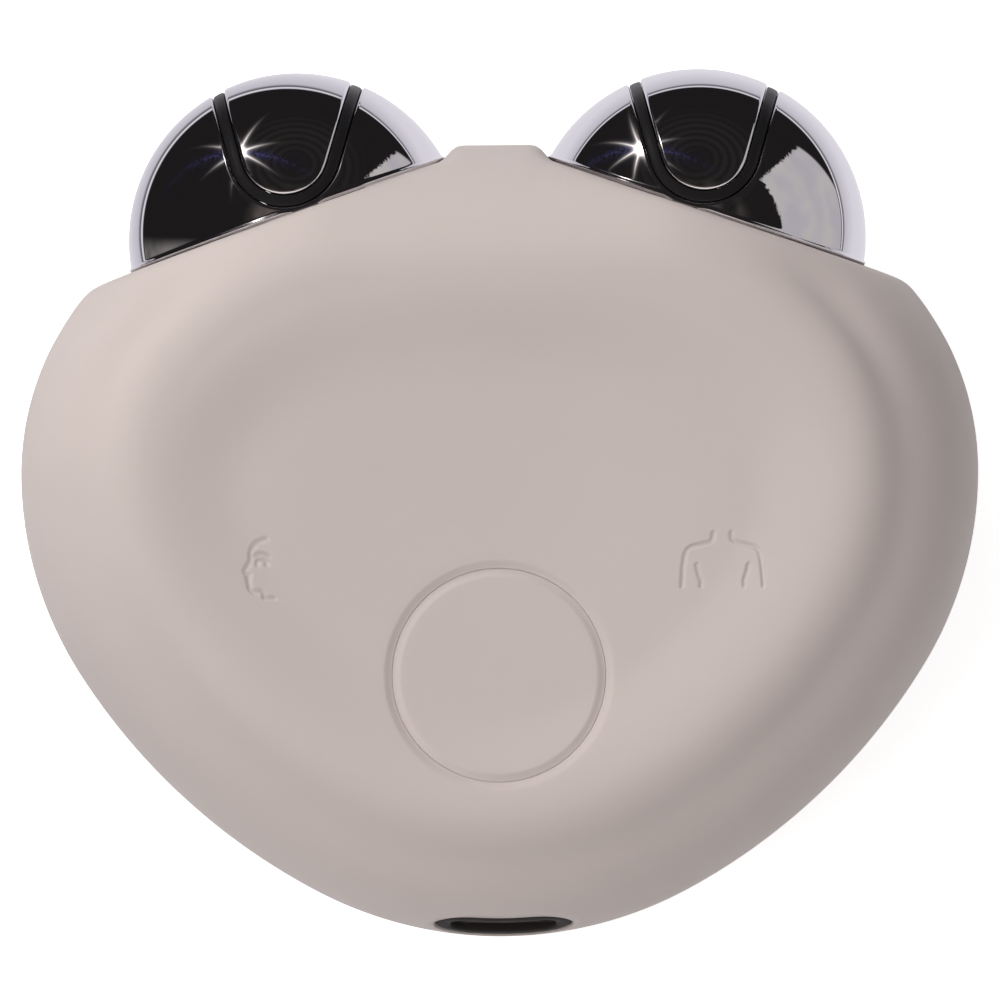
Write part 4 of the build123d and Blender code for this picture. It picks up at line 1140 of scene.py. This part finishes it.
# ---------------------------------------------------------------- inner pieces
class PaintInside(bpy.types.Operator):
    """Finishes of the CAD pieces inside the casing"""

    bl_idname = "toning.inside"
    bl_label = "Inner pieces"

    def execute(self, context):
        finishes = {
            "housing_abs": moulded("housing_plastic", (0.62, 0.60, 0.58), (0.45, 0.58)),
            "carrier_plastic": moulded("carrier_plastic", (0.10, 0.10, 0.11), (0.45, 0.6)),
            "black_rubber": bpy.data.materials["black_rubber"],
            "red_insulation": moulded("red_insulation", (0.42, 0.02, 0.02), (0.35, 0.5)),
            "black_insulation": moulded("black_insulation", (0.02, 0.02, 0.02), (0.35, 0.5)),
            "tinned_brass": metal("tinned_brass", (0.72, 0.70, 0.64)),
            "screw_steel": metal("screw_steel", (0.50, 0.50, 0.51)),
            "circuit_board": moulded("circuit_board", (0.015, 0.10, 0.05), (0.25, 0.4), 0.0008, 0.00002),
            "chip_plastic": moulded("chip_plastic", (0.025, 0.025, 0.027), (0.4, 0.55)),
            "can_aluminium": metal("can_aluminium", (0.78, 0.78, 0.79)),
            "light_plastic": moulded("light_plastic", (0.85, 0.83, 0.70), (0.25, 0.35)),
            "clear_plastic": moulded("clear_plastic", (0.80, 0.82, 0.83), (0.12, 0.2)),
            "port_steel": metal("port_steel", (0.06, 0.058, 0.056), (0.35, 0.45), 0.0002),
            "port_black": bpy.data.materials["port_black"],
            "battery_foil": metal("battery_foil", (0.68, 0.69, 0.71), (0.3, 0.42)),
            "foam": moulded("foam", (0.06, 0.06, 0.065), (0.85, 0.95), 0.0006, 0.0001),
            "dome_chrome": bpy.data.materials["dome_chrome"],
            "silicone_skin": bpy.data.materials["silicone_skin"],
        }
        slots = {part["node"]: part["material_slot"] for part in frame["record"]["subparts"]}
        for name, piece in frame["nodes"].items():
            repaint(piece, finishes[slots[name]])
        return {"FINISHED"}


# ---------------------------------------------------------------- stage
DARK = (0.014, 0.0125, 0.013)
FRONT_LIGHT = (0.95, 0.90, 0.85)


class MakeStage(bpy.types.Operator):
    """Floor, lamps, surroundings and camera"""

    bl_idname = "toning.stage"
    bl_label = "Stage"

    def execute(self, context):
        self.floor(context)
        self.surroundings(context)
        self.lamps()
        self.camera(context)
        context.scene.view_settings.view_transform = "Standard"
        return {"FINISHED"}

    def floor(self, context):
        """Wide level floor: white to the camera, with the object's shadow on it.

        In mirrors it is a bright table with a dark edge line, and open beyond the edge."""
        radius, below, camera_glow = 3.0, 0.00002, 0.70
        turn = circle(96)
        points = np.stack([radius * np.cos(turn), radius * np.sin(turn), np.full(96, -below)], 1)
        mesh = bpy.data.meshes.new("floor")
        mesh.from_pydata(points.tolist(), [], [list(range(96))])
        floor = bpy.data.objects.new("floor", mesh)
        context.scene.collection.objects.link(floor)
        material = bpy.data.materials.new("floor_white")
        material.use_nodes = True
        tree = material.node_tree
        tree.nodes.clear()
        path = tree.nodes.new("ShaderNodeLightPath").outputs
        diffuse = node(tree, "BsdfDiffuse", (*context.scene.colours.floor, 1.0)).outputs[0]
        strength = calc(tree, "MULTIPLY", path["Is Camera Ray"], camera_glow)
        glow = node(tree, "Emission", (1.0, 1.0, 1.0, 1.0), strength).outputs[0]
        seen = node(tree, "AddShader", diffuse, glow).outputs[0]

        table_middle, table_near, table_far, open_from = (0.010, 0.002, 0.0), 0.031, 0.131, 0.45
        white, pale, grey = (0.80, 0.775, 0.83), (0.60, 0.58, 0.63), (0.16, 0.15, 0.17)
        stops = (
            (0.0, white), (0.20, white), (0.36, pale), (0.385, grey), (0.40, grey),
            (0.41, white), (0.425, white), (0.44, DARK),
        )
        place = tree.nodes.new("ShaderNodeTexCoord").outputs["Object"]
        far = node(tree, "VectorMath", place, table_middle, operation="DISTANCE").outputs["Value"]
        reach = node(tree, "MapRange", far, table_near, table_far).outputs[0]
        shade = node(tree, "ValToRGB", reach)
        ramp_stops(shade.color_ramp, stops)
        bright = node(tree, "Emission", shade.outputs["Color"]).outputs[0]
        clear = tree.nodes.new("ShaderNodeBsdfTransparent").outputs[0]
        beyond = calc(tree, "GREATER_THAN", reach, open_from)
        table = node(tree, "MixShader", beyond, bright, clear).outputs[0]
        both = node(tree, "MixShader", path["Is Glossy Ray"], seen, table).outputs[0]
        node(tree, "OutputMaterial", both)
        mesh.materials.append(material)

    def surroundings(self, context):
        """World: white to the camera, even soft light, and the dark studio in mirrors."""
        world = bpy.data.worlds.new("studio")
        context.scene.world = world
        world.use_nodes = True
        tree = world.node_tree
        tree.nodes.clear()
        path = tree.nodes.new("ShaderNodeLightPath").outputs
        soft = node(tree, "Background", (1.0, 0.99, 0.985, 1.0), 0.25).outputs[0]
        white = node(tree, "Background", (1.0, 1.0, 1.0, 1.0), 1.0).outputs[0]
        way = tree.nodes.new("ShaderNodeTexCoord").outputs["Generated"]
        dark = node(tree, "Background", studio(tree, way)).outputs[0]
        lit = node(tree, "MixShader", path["Is Glossy Ray"], soft, dark).outputs[0]
        seen = node(tree, "MixShader", path["Is Camera Ray"], lit, white).outputs[0]
        node(tree, "OutputWorld", seen)

    def lamp(self, name, size, power, where, target):
        """Round area lamp that looks at the target and doesn't show in mirrors."""
        light = bpy.data.lights.new(name, "AREA")
        light.shape = "DISK"
        light.size = size
        light.energy = power
        lamp = bpy.data.objects.new(name, light)
        bpy.context.scene.collection.objects.link(lamp)
        lamp.matrix_world = aimed(where, target)
        lamp.visible_glossy = False

    def lamps(self):
        """Lamps by name, size, power, heading, height angle and distance."""
        target = (0.0, 0.0, 0.02)
        rows = (
            ("low_key", 0.5, 4.2, 120, 15, 1.1), ("left_top", 0.9, 7.5, 180, 60, 1.3),
            ("high_key", 0.5, 1.6, 120, 50, 1.1), ("top", 0.9, 1.2, 90, 82, 1.3),
            ("foot", 0.5, 1.2, -65, 18, 1.1),
        )
        for name, size, power, heading, height, away in rows:
            heading, height = math.radians(heading), math.radians(height)
            flat, rise = away * math.cos(height), target[2] + away * math.sin(height)
            where = (flat * math.cos(heading), flat * math.sin(heading), rise)
            self.lamp(name, size, power, where, target)

    def camera(self, context):
        """Camera straight above the front face, a little to one side and a little rolled."""
        data = bpy.data.cameras.new("camera")
        camera = bpy.data.objects.new("camera", data)
        context.scene.collection.objects.link(camera)
        target = np.array([0.0, 0.003575, 0.019])
        view_width = 0.08777  # at the target
        away, yaw, roll = 2.5, math.radians(0.8), math.radians(0.6)
        back = np.array([math.sin(yaw), 0.0, math.cos(yaw)])
        camera.matrix_world = aimed(target + back * away, target, (math.sin(roll), math.cos(roll), 0.0))
        data.sensor_width = 36.0
        data.lens = data.sensor_width * away / view_width
        data.clip_start = 0.01
        data.clip_end = 20.0
        context.scene.camera = camera


def studio(tree, way):
    """What the mirrors see of the studio in a direction.

    A dark room with faint rings about one direction, a brownish haze overhead in patches, a light
    at the front, a pale panel on the right with rough edges, and a star with a blue streak. The
    star's rays fall off with the sine of four times the angle around it and with the distance."""
    rings_middle = (0.0, 0.817, 0.577)
    panel_left = (0.663, -0.749, 0.0)
    panel_front = (0.50, 0.866, 0.0)
    panel_inner = (0.666, -0.252, 0.70)
    star_up = (-0.124, 0.196, -0.973)
    star_across = (-0.846, -0.533, 0.0)
    star_middle = (-0.518, 0.823, 0.233)
    way = node(tree, "VectorMath", way, operation="NORMALIZE").outputs[0]
    across, along, up = node(tree, "SeparateXYZ", way).outputs
    patches = noise(tree, way, 0.26, 1.0)
    rough = calc(tree, "MULTIPLY_ADD", noise(tree, way, 0.030), 0.08, -0.04)

    apart = calc(tree, "ARCCOSINE", dot(tree, way, rings_middle))
    wave = calc(tree, "SINE", calc(tree, "MULTIPLY", apart, 68.0))
    wave = calc(tree, "MULTIPLY_ADD", wave, 0.5, 0.5)
    rings = product(tree, wave, eased(tree, apart, 0.85, 0.45), eased(tree, apart, 0.05, 0.30))
    light = blend(tree, rings, DARK, (0.023, 0.021, 0.0195))
    haze = product(tree, eased(tree, up, 0.74, 0.95), eased(tree, patches, 0.34, 0.66))
    light = blend(tree, haze, light, (0.17, 0.145, 0.13))
    front = calc(tree, "MULTIPLY", along, -1.0)
    sides = calc(tree, "MULTIPLY_ADD", calc(tree, "ABSOLUTE", across), -0.36, front)
    light = blend(tree, eased(tree, sides, 0.02, 0.07), light, FRONT_LIGHT)
    wide = product(tree, eased(tree, along, 0.05, -0.08), eased(tree, patches, 0.10, 0.60))
    light = blend(tree, calc(tree, "MULTIPLY", wide, 0.25), light, FRONT_LIGHT)

    left = calc(tree, "ADD", dot(tree, way, panel_left), rough)
    top = calc(tree, "ADD", calc(tree, "MULTIPLY", up, -1.0), rough)
    edges = (eased(tree, left, -0.012, 0.012), eased(tree, top, -0.50, -0.48))
    panel = product(tree, *edges, eased(tree, dot(tree, way, panel_front), -0.02, 0.02))
    panel = product(tree, panel, eased(tree, dot(tree, way, panel_inner), 0.10, 0.14))
    pale = blend(tree, eased(tree, patches, 0.30, 0.70), (0.56, 0.535, 0.51), (0.49, 0.47, 0.50))
    light = blend(tree, panel, light, pale)

    p = calc(tree, "MULTIPLY", dot(tree, way, star_up), 66.0)
    q = calc(tree, "MULTIPLY", dot(tree, way, star_across), 107.0)
    away = calc(tree, "SQRT", calc(tree, "MULTIPLY_ADD", p, p, calc(tree, "MULTIPLY", q, q)))
    turn = calc(tree, "MULTIPLY_ADD", calc(tree, "ARCTAN2", q, p), 4.0, 0.6)
    beside = calc(tree, "ABSOLUTE", calc(tree, "MULTIPLY", away, calc(tree, "SINE", turn)))
    fade = product(tree, away, away, -0.0028)
    rays = calc(tree, "EXPONENT", calc(tree, "MULTIPLY_ADD", beside, -0.32, fade))
    core = calc(tree, "EXPONENT", product(tree, away, away, -0.055))
    shine = calc(tree, "MULTIPLY_ADD", rays, 2.4, calc(tree, "MULTIPLY", core, 12.0))
    facing = dot(tree, way, star_middle)
    shine = product(tree, shine, eased(tree, facing, 0.2, 0.6))
    light = blend(tree, shine, light, (1.0, 0.93, 0.88), "ADD")
    level = calc(tree, "ABSOLUTE", calc(tree, "MULTIPLY_ADD", p, 0.846, calc(tree, "MULTIPLY", q, -0.533)))
    fade = calc(tree, "MULTIPLY", away, -0.045)
    streak = calc(tree, "EXPONENT", calc(tree, "MULTIPLY_ADD", level, -0.35, fade))
    broken = eased(tree, noise(tree, way, 0.03), 0.4, 0.6)
    streak = product(tree, streak, eased(tree, facing, 0.5, 0.8), broken)
    return blend(tree, streak, light, (0.10, 0.10, 0.36), "ADD")


def aimed(where, target, up=(0.0, 0.0, 1.0)):
    """Matrix of an object at a place whose own back (+Z) points away from the target."""
    where, target, up = np.array(where, float), np.array(target, float), np.array(up, float)
    back = where - target
    back /= np.linalg.norm(back)
    right = np.cross(up, back)
    right /= np.linalg.norm(right)
    rise = np.cross(back, right)
    matrix = np.eye(4)
    matrix[:3, 0], matrix[:3, 1], matrix[:3, 2], matrix[:3, 3] = right, rise, back, where
    return Matrix(matrix.tolist())


# ---------------------------------------------------------------- add-on
PIECES = (MakeFrontSkin, MakeRearSkin, MakePad, MakeDomes, MakePort, PaintInside, MakeStage)
GROUPS = (
    ("casing", CasingSizes),
    ("pad", PadSizes),
    ("dome", DomeSizes),
    ("port", PortSizes),
    ("colours", Colours),
)


class ToningPanel(bpy.types.Panel):
    """Sizes, colours and makers of the toning device"""

    bl_idname = "VIEW3D_PT_toning"
    bl_label = "Toning device"
    bl_space_type = "VIEW_3D"
    bl_region_type = "UI"
    bl_category = "Toning device"

    def draw(self, context):
        for name, group in GROUPS:
            box = self.layout.box()
            box.label(text=name.capitalize())
            for key in group.__annotations__:
                box.prop(getattr(context.scene, name), key)
        for piece in PIECES:
            self.layout.operator(piece.bl_idname)


def register():
    """Registers the sizes, the makers and the panel."""
    for name, group in GROUPS:
        bpy.utils.register_class(group)
        setattr(bpy.types.Scene, name, bpy.props.PointerProperty(type=group))
    for piece in (*PIECES, ToningPanel):
        bpy.utils.register_class(piece)


def unregister():
    """Takes back what register added."""
    for piece in reversed((*PIECES, ToningPanel)):
        bpy.utils.unregister_class(piece)
    for name, group in reversed(GROUPS):
        delattr(bpy.types.Scene, name)
        bpy.utils.unregister_class(group)


def main():
    """Makes every piece and the stage."""
    register()
    for piece in PIECES:
        family, name = piece.bl_idname.split(".")
        getattr(getattr(bpy.ops, family), name)()
    bpy.context.view_layer.update()


if __name__ == "__main__":
    main()
